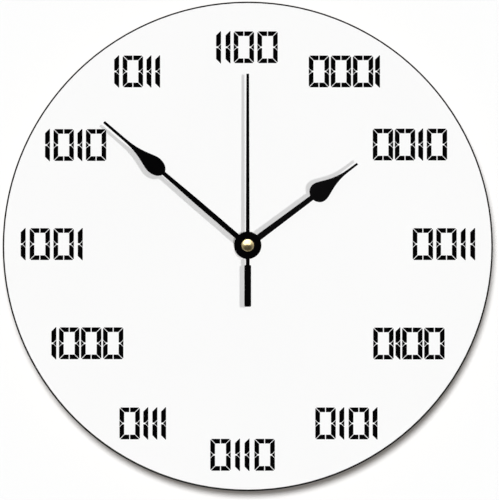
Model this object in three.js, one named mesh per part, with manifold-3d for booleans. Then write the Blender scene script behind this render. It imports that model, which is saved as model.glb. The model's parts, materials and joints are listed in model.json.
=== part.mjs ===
// A round wooden wall clock with binary numerals and a battery quartz movement, in millimetres.
// The dial faces -Y, +X is to its right and +Z is up. The origin lies on the axis of the hands, in the plane
// of the wall. A depth is a distance from the wall towards the viewer, so the point at depth d has y = -d.
import * as THREE from "three";
import { mergeVertices } from "three/addons/utils/BufferGeometryUtils.js";
import Module from "manifold-3d";

const wasm = await Module();
wasm.setup();

// Board and dial
const boardDiameter = 300;
const boardThickness = 5;
const boardBackChamfer = 0.4;
const boardFrontChamfer = 0.2;
const rimLineWidth = 0.8;
const dialThickness = 0.3;
const glueThickness = 0.05;

// Clearances that the whole clock shares
const seat = 0.25;
const pressSeat = 0.1;
const pivotClearance = 0.1;
const pipeClearance = 0.25;
const overrun = 2;
const weld = 0.0001;

// Numerals: each binary digit is drawn in mitred segments
const digitHeight = 19.2;
const zeroWidth = 12.15;
const oneWidth = 2.7;
const oneRise = 0.4;
const strokeWidth = 2.55;
const mitreGap = 0.52;
const splitGap = 0.85;
const waistGap = 1.35;
const wedgeShare = 0.57;

// Word, place of its centre across and up the dial, and the gaps between its digits. The places are shares of
// the board's radius, and the gaps are shares of the digit height.
const numeralShares = [
  ["1100", -0.0034, 0.813, [0.161, 0.118, 0.123]],
  ["0001", 0.3945, 0.714, [0.069, 0.072, 0.074]],
  ["0010", 0.6621, 0.415, [0.07, 0.114, 0.132]],
  ["0011", 0.8004, 0.008, [0.12, 0.146, 0.163]],
  ["0100", 0.6573, -0.398, [0.076, 0.072, 0.07]],
  ["0101", 0.4023, -0.724, [0.132, 0.157, 0.129]],
  ["0110", -0.0211, -0.852, [0.155, 0.163, 0.173]],
  ["0111", -0.428, -0.724, [0.126, 0.149, 0.137]],
  ["1000", -0.654, -0.397, [0.102, 0.067, 0.069]],
  ["1001", -0.7998, 0.008, [0.144, 0.127, 0.142]],
  ["1010", -0.7024, 0.413, [0.13, 0.13, 0.129]],
  ["1011", -0.4515, 0.714, [0.129, 0.128, 0.135]],
];

// Hands: lengths from the axis, and the angle at which each one stands, in degrees clockwise from the top
const hourHand = {
  angle: 53.2,
  length: 83.7,
  thickness: 0.5,
  bossRadius: 6.6,
  rootWidth: 3.7,
  middleWidth: 3.3,
  neckWidth: 2.85,
  bulbStart: 48.9,
  bulbCentre: 54.5,
  bulbWidth: 12.06,
  spireStart: 77,
  spireWidth: 1.2,
  tipWidth: 1.05,
};
const minuteHand = {
  angle: 310.7,
  length: 115.8,
  thickness: 0.5,
  bossRadius: 5.8,
  rootWidth: 2.9,
  middleWidth: 2.88,
  neckWidth: 2.1,
  bulbStart: 67.8,
  bulbCentre: 75.3,
  bulbWidth: 10.3,
  spireStart: 99,
  spireWidth: 1.45,
  tipWidth: 1.25,
};
const bulbShoulderShare = 0.21;
const bulbHollowShare = 0.57;
const armMiddleShare = 0.6;
const secondHand = {
  angle: 0,
  length: 105,
  thickness: 0.4,
  discRadius: 8.35,
  rootWidth: 2.1,
  tipWidth: 1.42,
  neckWidth: 2.1,
  tailStart: 12.2,
  tailLength: 37.5,
  tailWidth: 3.88,
  tailCorner: 0.6,
};
const minuteStandoff = 1.7;
const secondStandoff = 1.6;
const collarHeight = 0.6;
const collarWall = 0.6;
const tubeRadius = 1.2;
const tubeLength = 1.1;
const capRadius = 3.9;
const capRim = 0.5;
const capDome = 1.6;

// Movement case: the rear shell holds the works and the battery bay, the front cover closes it
const caseWidth = 56;
const caseCorner = 3;
const caseWall = 1.2;
const rearWall = 1.5;
const bayWall = 1;
const coverThickness = 1.5;
const batteryRadius = 7.25;
const batteryLength = 50.5;
const batteryNubRadius = 2.7;
const batteryNubLength = 1.1;
const batteryCorner = 0.6;
const batterySideClearance = 0.2;

// Fixing through the board
const bushRadius = 3.9;
const bushFlangeRadius = 6;
const bushFlange = 1.2;
const bushGroove = 0.55;
const grooveShare = 0.5;
const bushProud = 0.6;
const boardHoleClearance = 1.3;
const washerRadius = 7.4;
const washerThickness = 0.5;
const nutFlats = 11;
const nutThickness = 2;
const nutSides = 6;
const gasketRadius = 15;
const gasketThickness = 1;
const hangerThickness = 1;
const hangerWidth = 22;
const hangerDrop = 9;
const hangerEyeHeight = 37.5;
const hangerEyeRadius = 4.6;
const hangerNotchWidth = 3;
const hangerNotchDepth = 2;

// Shafts on the main axis, from the inside outwards
const secondShaftRadius = 0.5;
const minutePipeRadius = 1.5;
const hourPipeRadius = 2.6;
const shaftProud = 0.3;

// Wheels: modules, and tooth counts of the wheels and pinions
const wheelThickness = 0.8;
const wheelGap = 0.3;
const pinionOverhang = 0.15;
const arborRadius = 0.5;
const pivotDepth = 0.65;
const spokeReachShare = 0.52;
const spokeHoleShare = 0.24;
const spokeHoles = 3;
const idlerModule = 0.42;
const idlerTeeth = 30;
const rotorTeeth = 6;
const secondsModule = 0.51;
const secondsTeeth = 36;
const idlerPinionTeeth = 6;
const thirdModule = 0.4;
const thirdTeeth = 45;
const secondsPinionTeeth = 6;
const centreTeeth = 48;
const thirdPinionTeeth = 6;
const minuteModule = 0.6;
const minuteTeeth = 30;
const cannonTeeth = 10;
const setTeeth = 10;
const hourTeeth = 32;
const minutePinionTeeth = 8;

// Tooth forms, as shares of the module or of the tooth pitch
const addendumShare = 0.75;
const dedendumShare = 1.15;
const wheelRootShare = 0.5;
const wheelTipShare = 0.2;
const pinionRootShare = 0.4;
const pinionTipShare = 0.18;

// Directions of the arbors from those that they mesh with, in degrees from +X towards +Z
const idlerDirection = 155;
const rotorDirection = 120;
const thirdDirection = 60;
const minuteDirection = 40;
const setDirection = 20;

// Stepping motor
const magnetRadius = 2.4;
const magnetHeight = 2;
const magnetStandoff = 0.7;
const airGap = 0.5;
const statorThickness = 0.6;
const statorBorder = 3.7;
const statorLegWidth = 2.65;
const statorHeel = 6.6;
const statorSlope = 10.8;
const coreThickness = 1.2;
const coreWidth = 2.4;
const coreLength = 30.5;
const coilCentreAcross = -10;
const coilCentreUp = 22.4;
const bobbinLength = 24;
const bobbinFlange = 1;
const bobbinHalfHeight = 3.4;
const bobbinWall = 0.5;
const windingThickness = 0.9;

// Train plate, posts and electronics
const plateThickness = 0.9;
const plateHalfWidth = 25.5;
const plateTop = 17.6;
const plateCorner = 2;
const plateBottomClearance = 0.3;
const postRadius = 1.4;
const pegRadius = 0.8;
const studRadius = 0.8;
const postInset = 3.5;
const boardPostAcross = 21;
const circuitHalfWidth = 25.9;
const circuitBottom = 18;
const circuitTop = 26.3;
const chipRadius = 2.6;
const chipHeight = 1.2;
const chipAcross = 15.5;
const crystalRadius = 1;
const crystalLength = 6;
const crystalAcross = 8.5;
const contactThickness = 0.4;
const contactHalfWidth = 2;
const contactTop = 25;
const contactSlack = 0.3;
const contactPipRadius = 1.6;
const springReach = 0.55;
const springHeight = 4.5;
const springCrestShare = 0.33;

// Set knob at the back
const knobRadius = 4.5;
const knobThickness = 2.2;
const knobClearance = 0.5;
const knobShaftRadius = 1;
const knobRidges = 20;
const knobRidgeDepth = 0.3;
const cupWall = 1;
const cupFloor = 1.1;

// Counts of flat sides that stand for round forms
const boardSides = 120;
const discSides = 40;
const hubSides = 20;
const pinSides = 10;
const bulbSteps = 6;
const spireSteps = 9;
const cornerSteps = 3;

// Depths worked out from the sizes above, from the wall to the tip of the cap
const magnetFrom = rearWall + magnetStandoff;
const magnetTo = magnetFrom + magnetHeight;
const statorFrom = magnetFrom + (magnetHeight - statorThickness) / 2;
const coreFrom = statorFrom + statorThickness + seat;
const coreMiddle = coreFrom + coreThickness / 2;
const wheelStep = wheelThickness + wheelGap;
const pinionLength = wheelGap + wheelThickness + pinionOverhang;
const idlerFrom = magnetTo + seat + wheelGap;
const secondsFrom = idlerFrom + wheelStep;
const thirdFrom = secondsFrom + wheelStep;
const centreFrom = thirdFrom + wheelStep;
const plateFrom = centreFrom + wheelStep;
const plateTo = plateFrom + plateThickness;
const minuteWheelFrom = plateTo + wheelGap + pinionOverhang;
const hourWheelFrom = minuteWheelFrom + wheelStep;
const shellDepth = 2 * (batteryRadius + seat) - seat;
const coverFrom = shellDepth + seat;
const coverTo = coverFrom + coverThickness;
const hangerFrom = coverTo + seat;
const gasketFrom = hangerFrom + hangerThickness + seat;
const boardFrom = gasketFrom + gasketThickness + seat;
const boardTo = boardFrom + boardThickness;
const dialFrom = boardTo + glueThickness;
const dialTo = dialFrom + dialThickness;
const washerFrom = dialTo + seat;
const nutFrom = washerFrom + washerThickness + seat;
const bushTo = nutFrom + nutThickness + bushProud;
const hourHandFrom = bushTo + seat + collarHeight;
const hourHandTo = hourHandFrom + hourHand.thickness;
const minuteHandFrom = hourHandTo + minuteStandoff;
const minuteHandTo = minuteHandFrom + minuteHand.thickness;
const secondHandFrom = minuteHandTo + secondStandoff;
const secondHandTo = secondHandFrom + secondHand.thickness;

// Places worked out from the sizes above
const mainAxis = { x: 0, z: 0 };
const boardRadius = boardDiameter / 2;
const caseInner = caseWidth / 2 - caseWall;
const bayTop = 2 * (batteryRadius + batterySideClearance) - caseInner;
const worksBottom = bayTop + bayWall;
const batteryUp = (bayTop - caseInner) / 2;
const batteryMiddle = coverFrom / 2;
const idler = placeFrom(mainAxis, idlerDirection, spacing(secondsModule, secondsTeeth, idlerPinionTeeth));
const rotor = placeFrom(idler, rotorDirection, spacing(idlerModule, idlerTeeth, rotorTeeth));
const thirdSpacing = spacing(thirdModule, thirdTeeth, secondsPinionTeeth);
const third = placeFrom(mainAxis, thirdDirection, thirdSpacing);
const centreModule = (2 * thirdSpacing) / (centreTeeth + thirdPinionTeeth);
const minuteSpacing = spacing(minuteModule, minuteTeeth, cannonTeeth);
const minute = placeFrom(mainAxis, minuteDirection, minuteSpacing);
const hourModule = (2 * minuteSpacing) / (hourTeeth + minutePinionTeeth);
const setting = placeFrom(minute, setDirection, spacing(minuteModule, minuteTeeth, setTeeth));
const knobRecess = knobRadius + knobClearance;
const cupDepth = seat + knobThickness + seat + cupFloor;
const cupRadius = knobRecess + cupWall;
const platePosts = [
  { x: -(caseInner - postInset - postRadius), z: worksBottom + postInset },
  { x: caseInner - postInset - postRadius, z: worksBottom + postInset },
  { x: rotor.x - magnetRadius - airGap - 2 * postRadius - pivotClearance, z: rotor.z },
];
const circuitPost = { x: boardPostAcross, z: (circuitBottom + circuitTop) / 2 };

// Places and angles

function spacing(module, teeth, pinionTeeth) {
  return (module * (teeth + pinionTeeth)) / 2;
}

function placeFrom(start, direction, distance) {
  const angle = THREE.MathUtils.degToRad(direction);
  return { x: start.x + distance * Math.cos(angle), z: start.z + distance * Math.sin(angle) };
}

// Solids from three.js geometry

function solidOf(geometry) {
  const plain = new THREE.BufferGeometry();
  plain.setAttribute("position", geometry.getAttribute("position"));
  plain.setIndex(geometry.index);
  const merged = mergeVertices(plain, weld);
  const vertProperties = merged.getAttribute("position").array;
  const triVerts = new Uint32Array(merged.index.array);
  return new wasm.Manifold(new wasm.Mesh({ numProp: 3, vertProperties, triVerts }));
}

function geometryOf(solid) {
  const mesh = solid.getMesh();
  const geometry = new THREE.BufferGeometry();
  geometry.setAttribute("position", new THREE.BufferAttribute(new Float32Array(mesh.vertProperties), 3));
  geometry.setIndex(new THREE.BufferAttribute(new Uint32Array(mesh.triVerts), 1));
  const flat = geometry.toNonIndexed();
  flat.computeVertexNormals();
  return flat;
}

function union(...solids) {
  return solids.reduce((whole, solid) => whole.add(solid));
}

function cut(solid, ...tools) {
  return tools.reduce((whole, tool) => whole.subtract(tool), solid);
}

// Outlines, drawn as the viewer sees them: x to the right, y for up

function circle(radius, sides, x = 0, z = 0) {
  return Array.from({ length: sides }, (_, i) => {
    const angle = (2 * Math.PI * i) / sides;
    return new THREE.Vector2(x + radius * Math.cos(angle), z + radius * Math.sin(angle));
  });
}

function rectangle(left, right, bottom, top) {
  return [
    new THREE.Vector2(left, bottom),
    new THREE.Vector2(right, bottom),
    new THREE.Vector2(right, top),
    new THREE.Vector2(left, top),
  ];
}

function roundedRectangle(left, right, bottom, top, radius) {
  const corners = [
    [right - radius, top - radius],
    [left + radius, top - radius],
    [left + radius, bottom + radius],
    [right - radius, bottom + radius],
  ];
  return corners.flatMap(([x, z], quarter) =>
    Array.from({ length: cornerSteps + 1 }, (_, i) => {
      const angle = (Math.PI / 2) * (quarter + i / cornerSteps);
      return new THREE.Vector2(x + radius * Math.cos(angle), z + radius * Math.sin(angle));
    }),
  );
}

function prism(outlines, from, to) {
  const shapes = outlines.map((outline) => new THREE.Shape(outline));
  const geometry = new THREE.ExtrudeGeometry(shapes, { depth: to - from, bevelEnabled: false });
  geometry.rotateX(Math.PI / 2);
  geometry.translate(0, -from, 0);
  return solidOf(geometry);
}

// A flat piece between two depths, with its outline facing the viewer
function plate(outline, from, to, holes = []) {
  const tools = holes.map((hole) => prism([hole], from - overrun, to + overrun));
  return cut(prism([outline], from, to), ...tools);
}

function rod(radius, sides, from, to, place = mainAxis) {
  return plate(circle(radius, sides, place.x, place.z), from, to);
}

function ring(outer, inner, sides, from, to, place = mainAxis) {
  const hole = circle(inner, sides, place.x, place.z);
  return plate(circle(outer, sides, place.x, place.z), from, to, [hole]);
}

function block(left, right, bottom, top, from, to) {
  return plate(rectangle(left, right, bottom, top), from, to);
}

// A round piece on the main axis, from a closed profile of [radius, depth] points. The profile runs towards
// the viewer along its outer side.
function turned(profile, sides) {
  const points = profile.map(([radius, depth]) => new THREE.Vector2(radius, -depth)).reverse();
  return solidOf(new THREE.LatheGeometry(points, sides));
}

// Numerals

// The two upright bars and the wedge of one side of a digit. Its outer edge stands at the given place, and
// the stroke lies on the side that inward points to. The bars reach to the given height on their outer edge.
function uprightSegments(edge, inward, stroke, reach) {
  const wedge = strokeWidth * wedgeShare;
  const cutStart = wedge + mitreGap * Math.SQRT2;
  const waist = waistGap / 2;
  const bar = [
    [0, reach],
    [stroke, reach - stroke],
    [stroke, waist],
    [cutStart - waist, waist],
    [0, cutStart],
  ];
  const lower = bar.map(([across, up]) => [across, -up]);
  const wedgePoints = [
    [0, wedge],
    [wedge, 0],
    [0, -wedge],
  ];
  return [bar, lower, wedgePoints].map((points) =>
    points.map(([across, up]) => new THREE.Vector2(edge + inward * across, up)),
  );
}

// The top or bottom bar of a zero, split at its middle
function levelSegments(upward) {
  const top = digitHeight / 2;
  const half = zeroWidth / 2;
  const cornerGap = mitreGap / Math.SQRT2;
  const bar = [
    [splitGap / 2, top],
    [splitGap / 2, top - strokeWidth],
    [half - strokeWidth - cornerGap, top - strokeWidth],
    [half - cornerGap, top],
  ];
  return [1, -1].map((side) => bar.map(([across, up]) => new THREE.Vector2(side * across, upward * up)));
}

function zeroSegments() {
  const reach = digitHeight / 2 - mitreGap / Math.SQRT2;
  return [
    ...uprightSegments(-zeroWidth / 2, 1, strokeWidth, reach),
    ...uprightSegments(zeroWidth / 2, -1, strokeWidth, reach),
    ...levelSegments(1),
    ...levelSegments(-1),
  ];
}

function oneSegments() {
  return uprightSegments(oneWidth / 2, -1, oneWidth, digitHeight / 2 + oneRise);
}

function wordSegments(word, gapShares) {
  const gaps = [...gapShares, 0].map((share) => share * digitHeight);
  const widths = [...word].map((digit) => (digit === "0" ? zeroWidth : oneWidth));
  const total = widths.reduce((sum, width, i) => sum + width + gaps[i], 0);
  let left = -total / 2;
  return [...word].flatMap((digit, i) => {
    const centre = left + widths[i] / 2;
    left += widths[i] + gaps[i];
    const segments = digit === "0" ? zeroSegments() : oneSegments();
    return segments.map((points) => points.map((point) => new THREE.Vector2(point.x + centre, point.y)));
  });
}

function dialSegments() {
  return numeralShares.flatMap(([word, acrossShare, upShare, gapShares]) =>
    wordSegments(word, gapShares).map((points) =>
      points.map(
        (point) => new THREE.Vector2(point.x + acrossShare * boardRadius, point.y + upShare * boardRadius),
      ),
    ),
  );
}

// Board and dial

function board() {
  const hole = bushRadius + boardHoleClearance;
  const profile = [
    [hole, boardFrom],
    [boardRadius - boardBackChamfer, boardFrom],
    [boardRadius, boardFrom + boardBackChamfer],
    [boardRadius, boardTo - boardFrontChamfer],
    [boardRadius - boardFrontChamfer, boardTo],
    [hole, boardTo],
    [hole, boardFrom],
  ];
  return turned(profile, boardSides);
}

// The white layer, with a window for every segment, through which the dark board shows
function dialFace() {
  const hole = bushRadius + boardHoleClearance;
  const layer = ring(boardRadius - rimLineWidth, hole, boardSides, dialFrom, dialTo);
  return cut(layer, prism(dialSegments(), dialFrom - overrun, dialTo + overrun));
}

// Hands

// Half of a spade hand's outline from its root to its tip, as [distance from the axis, half width]
function spadeSide(hand) {
  const neck = [hand.bulbStart, hand.neckWidth / 2];
  const half = hand.bulbWidth / 2;
  const rise = hand.bulbCentre - hand.bulbStart;
  const start = Math.asin(hand.neckWidth / hand.bulbWidth);
  const bulb = Array.from({ length: bulbSteps }, (_, i) => {
    const angle = start + ((Math.PI / 2 - start) * (i + 1)) / bulbSteps;
    return [hand.bulbCentre - rise * Math.cos(angle), half * Math.sin(angle)];
  });
  const taper = hand.spireStart - hand.bulbCentre;
  const curve = new THREE.CubicBezierCurve(
    new THREE.Vector2(hand.bulbCentre, half),
    new THREE.Vector2(hand.bulbCentre + taper * bulbShoulderShare, half),
    new THREE.Vector2(hand.spireStart - taper * bulbHollowShare, hand.spireWidth / 2),
    new THREE.Vector2(hand.spireStart, hand.spireWidth / 2),
  );
  const spire = curve.getPoints(spireSteps).slice(1);
  const middle = hand.bulbStart * armMiddleShare;
  return [
    [0, hand.rootWidth / 2],
    [middle, hand.middleWidth / 2],
    neck,
    ...bulb,
    ...spire.map((point) => [point.x, point.y]),
    [hand.length, hand.tipWidth / 2],
  ];
}

// A hand's arm pointing up, from one half of its outline
function mirroredOutline(side) {
  const right = side.map(([up, half]) => new THREE.Vector2(half, up));
  const left = side.map(([up, half]) => new THREE.Vector2(-half, up)).reverse();
  return [...right, ...left];
}

function spadeHand(hand, from, pipeRadius) {
  const to = from + hand.thickness;
  const bore = pipeRadius + pipeClearance;
  const arm = plate(mirroredOutline(spadeSide(hand)), from, to);
  const boss = rod(hand.bossRadius, discSides, from, to);
  const collar = rod(bore + collarWall, hubSides, from - collarHeight, to);
  const hole = rod(bore, hubSides, from - collarHeight - overrun, to + overrun);
  return cut(union(arm, boss, collar), hole);
}

function secondHandPlate() {
  const arm = mirroredOutline([
    [0, secondHand.rootWidth / 2],
    [secondHand.length, secondHand.tipWidth / 2],
  ]);
  const half = secondHand.tailWidth / 2;
  const tailTop = -secondHand.tailStart;
  const tail = roundedRectangle(-half, half, -secondHand.tailLength, tailTop, secondHand.tailCorner);
  const neckHalf = secondHand.neckWidth / 2;
  const neck = rectangle(-neckHalf, neckHalf, tailTop - secondHand.tailCorner, 0);
  const pieces = [arm, tail, neck].map((outline) => plate(outline, secondHandFrom, secondHandTo));
  const disc = rod(secondHand.discRadius, discSides, secondHandFrom, secondHandTo);
  const bore = secondShaftRadius + pivotClearance;
  const hole = rod(bore, pinSides, secondHandFrom - overrun, secondHandTo + overrun);
  return cut(union(disc, ...pieces), hole);
}

function secondHandTube() {
  const to = secondHandFrom - pressSeat;
  return ring(tubeRadius, secondShaftRadius + pivotClearance, hubSides, to - tubeLength, to);
}

function shaftCap() {
  const from = secondHandTo + pressSeat;
  const dome = Array.from({ length: bulbSteps }, (_, i) => {
    const angle = (Math.PI / 2) * (i / bulbSteps);
    return [capRadius * Math.cos(angle), from + capRim + capDome * Math.sin(angle)];
  });
  return turned([[0, from], [capRadius, from], ...dome, [0, from + capRim + capDome]], hubSides);
}

// Fixing through the board

function threadedBush() {
  const bore = hourPipeRadius + pipeClearance;
  const flangeFrom = shellDepth - bushFlange;
  const threadFrom = washerFrom;
  const turns = Math.floor((bushTo - threadFrom) / (2 * bushGroove)) - 1;
  const pitch = (bushTo - threadFrom) / turns;
  const thread = Array.from({ length: turns }, (_, i) => [
    [bushRadius, threadFrom + pitch * i],
    [bushRadius - bushGroove, threadFrom + pitch * (i + grooveShare)],
  ]).flat();
  const profile = [
    [bore, flangeFrom],
    [bushFlangeRadius, flangeFrom],
    [bushFlangeRadius, shellDepth],
    [bushRadius, shellDepth],
    ...thread,
    [bushRadius, bushTo],
    [bore, bushTo],
    [bore, flangeFrom],
  ];
  return turned(profile, hubSides);
}

function washer() {
  return ring(washerRadius, bushRadius + seat, hubSides, washerFrom, washerFrom + washerThickness);
}

function hexNut() {
  const corner = nutFlats / 2 / Math.cos(Math.PI / nutSides);
  const hole = circle(bushRadius + seat, hubSides);
  return plate(circle(corner, nutSides), nutFrom, nutFrom + nutThickness, [hole]);
}

function gasket() {
  const hole = bushRadius + boardHoleClearance;
  return ring(gasketRadius, hole, discSides, gasketFrom, gasketFrom + gasketThickness);
}

// The steel plate behind the board. Its eye has a notch at the top that centres it on a nail.
function hangerPlate() {
  const half = hangerWidth / 2;
  const to = hangerFrom + hangerThickness;
  const strip = rectangle(-half, half, -hangerDrop, hangerEyeHeight);
  const eyePlace = { x: 0, z: hangerEyeHeight };
  const head = rod(half, discSides, hangerFrom, to, eyePlace);
  const eye = rod(hangerEyeRadius, hubSides, hangerFrom - overrun, to + overrun, eyePlace);
  const notchHalf = hangerNotchWidth / 2;
  const notchTop = hangerEyeHeight + hangerEyeRadius + hangerNotchDepth;
  const notch = block(-notchHalf, notchHalf, hangerEyeHeight, notchTop, hangerFrom - overrun, to + overrun);
  const hole = rod(bushRadius + seat, hubSides, hangerFrom - overrun, to + overrun);
  return cut(union(plate(strip, hangerFrom, to), head), eye, notch, hole);
}

// Movement case

function caseBack() {
  const half = caseWidth / 2;
  const body = plate(roundedRectangle(-half, half, -half, half, caseCorner), 0, shellDepth);
  const works = block(-caseInner, caseInner, worksBottom, caseInner, rearWall, shellDepth + overrun);
  const bay = block(-caseInner, caseInner, -caseInner, bayTop, -overrun, shellDepth + overrun);
  const cup = rod(cupRadius, discSides, 0, cupDepth, setting);
  const recess = rod(knobRecess, discSides, -overrun, cupDepth - cupFloor, setting);
  const knobHole = rod(knobShaftRadius + pivotClearance, hubSides, -overrun, cupDepth + overrun, setting);
  const postPlaces = [...platePosts, circuitPost];
  const posts = postPlaces.map((place) => rod(postRadius, hubSides, 0, plateFrom - seat, place));
  const pegs = postPlaces.map((place) => rod(pegRadius, pinSides, 0, plateTo + seat, place));
  const pivotFrom = rearWall - pivotDepth - pivotClearance;
  const pivots = [mainAxis, idler, rotor, third].map((place) =>
    rod(arborRadius + pivotClearance, pinSides, pivotFrom, rearWall + overrun, place),
  );
  const hollow = cut(body, works, bay, ...contactSlots());
  return cut(union(hollow, cup, ...posts, ...pegs), recess, knobHole, ...pivots);
}

// Slots beside the bay through which the contacts rise to the circuit board
function contactSlots() {
  const from = batteryMiddle - contactHalfWidth - contactSlack;
  const to = batteryMiddle + contactHalfWidth + contactSlack;
  const inner = caseInner - seat - contactThickness - contactSlack;
  return [-1, 1].map((side) => {
    const edges = [side * inner, side * caseInner].sort((a, b) => a - b);
    return block(edges[0], edges[1], bayTop - overrun, worksBottom + overrun, from, to);
  });
}

function caseFront() {
  const half = caseWidth / 2;
  const hole = circle(bushRadius + seat, hubSides);
  return plate(roundedRectangle(-half, half, -half, half, caseCorner), coverFrom, coverTo, [hole]);
}

function trainPlate() {
  const bottom = worksBottom + plateBottomClearance;
  const outline = roundedRectangle(-plateHalfWidth, plateHalfWidth, bottom, plateTop, plateCorner);
  const arborHoles = [idler, rotor, third].map((place) =>
    circle(arborRadius + pivotClearance, pinSides, place.x, place.z),
  );
  const pegHoles = platePosts.map((place) => circle(pegRadius + seat, pinSides, place.x, place.z));
  const pipeHole = circle(minutePipeRadius + pipeClearance, hubSides);
  const setHole = circle(knobShaftRadius + pivotClearance, hubSides, setting.x, setting.z);
  const holes = [...arborHoles, ...pegHoles, pipeHole, setHole];
  const stud = rod(studRadius, pinSides, plateFrom, hourWheelFrom + wheelStep + wheelGap, minute);
  return union(plate(outline, plateFrom, plateTo, holes), stud);
}

// Toothed wheels

// Corner points of a toothed outline. The first tooth's centre stands at the phase, in radians from +X.
function toothedOutline(place, module, teeth, phase, rootShare, tipShare) {
  const pitchRadius = (module * teeth) / 2;
  const root = pitchRadius - dedendumShare * module;
  const tip = pitchRadius + addendumShare * module;
  const pitch = (2 * Math.PI) / teeth;
  const corners = [
    [root, -rootShare / 2],
    [tip, -tipShare / 2],
    [tip, tipShare / 2],
    [root, rootShare / 2],
  ];
  return Array.from({ length: teeth }, (_, i) =>
    corners.map(([radius, share]) => {
      const angle = phase + pitch * (i + share);
      return new THREE.Vector2(place.x + radius * Math.cos(angle), place.z + radius * Math.sin(angle));
    }),
  ).flat();
}

// The phase at which a gear meshes with one whose phase is known. The direction runs from the known gear.
function meshedPhase(known, direction, knownTeeth, teeth) {
  const angle = THREE.MathUtils.degToRad(direction);
  return angle + Math.PI - ((known - angle) * knownTeeth) / teeth - Math.PI / teeth;
}

// A flat toothed wheel with round lightening holes
function wheel(place, module, teeth, phase, from, bore) {
  const outline = toothedOutline(place, module, teeth, phase, wheelRootShare, wheelTipShare);
  const radius = (module * teeth) / 2;
  const holes = Array.from({ length: spokeHoles }, (_, i) => {
    const angle = phase + (2 * Math.PI * i) / spokeHoles;
    const x = place.x + radius * spokeReachShare * Math.cos(angle);
    const z = place.z + radius * spokeReachShare * Math.sin(angle);
    return circle(radius * spokeHoleShare, pinSides, x, z);
  });
  if (bore > 0) {
    holes.push(circle(bore, hubSides, place.x, place.z));
  }
  return plate(outline, from, from + wheelThickness, holes);
}

function pinion(place, module, teeth, phase, from, to) {
  return plate(toothedOutline(place, module, teeth, phase, pinionRootShare, pinionTipShare), from, to);
}

function arbor(place, to) {
  return rod(arborRadius, pinSides, rearWall - pivotDepth, to, place);
}

// Phases along the going train, from the seconds wheel outwards
const idlerPinionPhase = meshedPhase(0, idlerDirection, secondsTeeth, idlerPinionTeeth);
const rotorPhase = meshedPhase(0, rotorDirection, idlerTeeth, rotorTeeth);
const thirdPhase = meshedPhase(0, thirdDirection, secondsPinionTeeth, thirdTeeth);
const centrePhase = meshedPhase(0, thirdDirection + 180, thirdPinionTeeth, centreTeeth);
const minutePhase = meshedPhase(0, minuteDirection, cannonTeeth, minuteTeeth);
const setPhase = meshedPhase(minutePhase, setDirection, minuteTeeth, setTeeth);
const hourPhase = meshedPhase(0, minuteDirection + 180, minutePinionTeeth, hourTeeth);

function rotorMagnet() {
  return ring(magnetRadius, arborRadius + pivotClearance, hubSides, magnetFrom, magnetTo, rotor);
}

function rotorPinion() {
  const from = idlerFrom - wheelGap;
  const to = idlerFrom + wheelThickness + pinionOverhang;
  const leaves = pinion(rotor, idlerModule, rotorTeeth, rotorPhase, from, to);
  return union(leaves, arbor(rotor, plateTo));
}

function idlerWheel() {
  const from = idlerFrom + wheelThickness / 2;
  const to = idlerFrom + wheelThickness + pinionLength;
  return union(
    wheel(idler, idlerModule, idlerTeeth, 0, idlerFrom, 0),
    pinion(idler, secondsModule, idlerPinionTeeth, idlerPinionPhase, from, to),
    arbor(idler, plateTo),
  );
}

function secondsWheel() {
  const from = secondsFrom + wheelThickness / 2;
  const to = secondsFrom + wheelThickness + pinionLength;
  return union(
    wheel(mainAxis, secondsModule, secondsTeeth, 0, secondsFrom, 0),
    pinion(mainAxis, thirdModule, secondsPinionTeeth, 0, from, to),
    rod(secondShaftRadius, pinSides, rearWall - pivotDepth, secondHandTo),
  );
}

function thirdWheel() {
  const from = thirdFrom + wheelThickness / 2;
  const to = thirdFrom + wheelThickness + pinionLength;
  return union(
    wheel(third, thirdModule, thirdTeeth, thirdPhase, thirdFrom, 0),
    pinion(third, centreModule, thirdPinionTeeth, 0, from, to),
    arbor(third, plateTo),
  );
}

function centreWheel() {
  const bore = minutePipeRadius + pivotClearance;
  return wheel(mainAxis, centreModule, centreTeeth, centrePhase, centreFrom, bore);
}

function minutePipe() {
  const bore = secondShaftRadius + pipeClearance;
  const from = centreFrom + pinionOverhang;
  const to = minuteHandTo + shaftProud;
  const teethFrom = plateTo + wheelGap;
  const teethTo = minuteWheelFrom + wheelThickness + pinionOverhang;
  const leaves = pinion(mainAxis, minuteModule, cannonTeeth, 0, teethFrom, teethTo);
  const pipe = rod(minutePipeRadius, hubSides, from, to);
  return cut(union(leaves, pipe), rod(bore, pinSides, from - overrun, to + overrun));
}

function minuteWheel() {
  const from = minuteWheelFrom + wheelThickness / 2;
  const to = minuteWheelFrom + wheelThickness + pinionLength;
  const bore = studRadius + pivotClearance;
  const hole = rod(bore, pinSides, minuteWheelFrom - overrun, to + overrun, minute);
  const solid = union(
    wheel(minute, minuteModule, minuteTeeth, minutePhase, minuteWheelFrom, 0),
    pinion(minute, hourModule, minutePinionTeeth, 0, from, to),
  );
  return cut(solid, hole);
}

function hourWheel() {
  const bore = minutePipeRadius + pipeClearance;
  const to = hourHandTo + shaftProud;
  const disc = wheel(mainAxis, hourModule, hourTeeth, hourPhase, hourWheelFrom, 0);
  const pipe = rod(hourPipeRadius, hubSides, hourWheelFrom, to);
  return cut(union(disc, pipe), rod(bore, hubSides, hourWheelFrom - overrun, to + overrun));
}

function setPinion() {
  const from = plateTo + wheelGap;
  const to = minuteWheelFrom + wheelThickness + pinionOverhang;
  const leaves = pinion(setting, minuteModule, setTeeth, setPhase, from, to);
  const bore = rod(knobShaftRadius + pivotClearance, hubSides, from - overrun, to + overrun, setting);
  return cut(leaves, bore);
}

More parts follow.
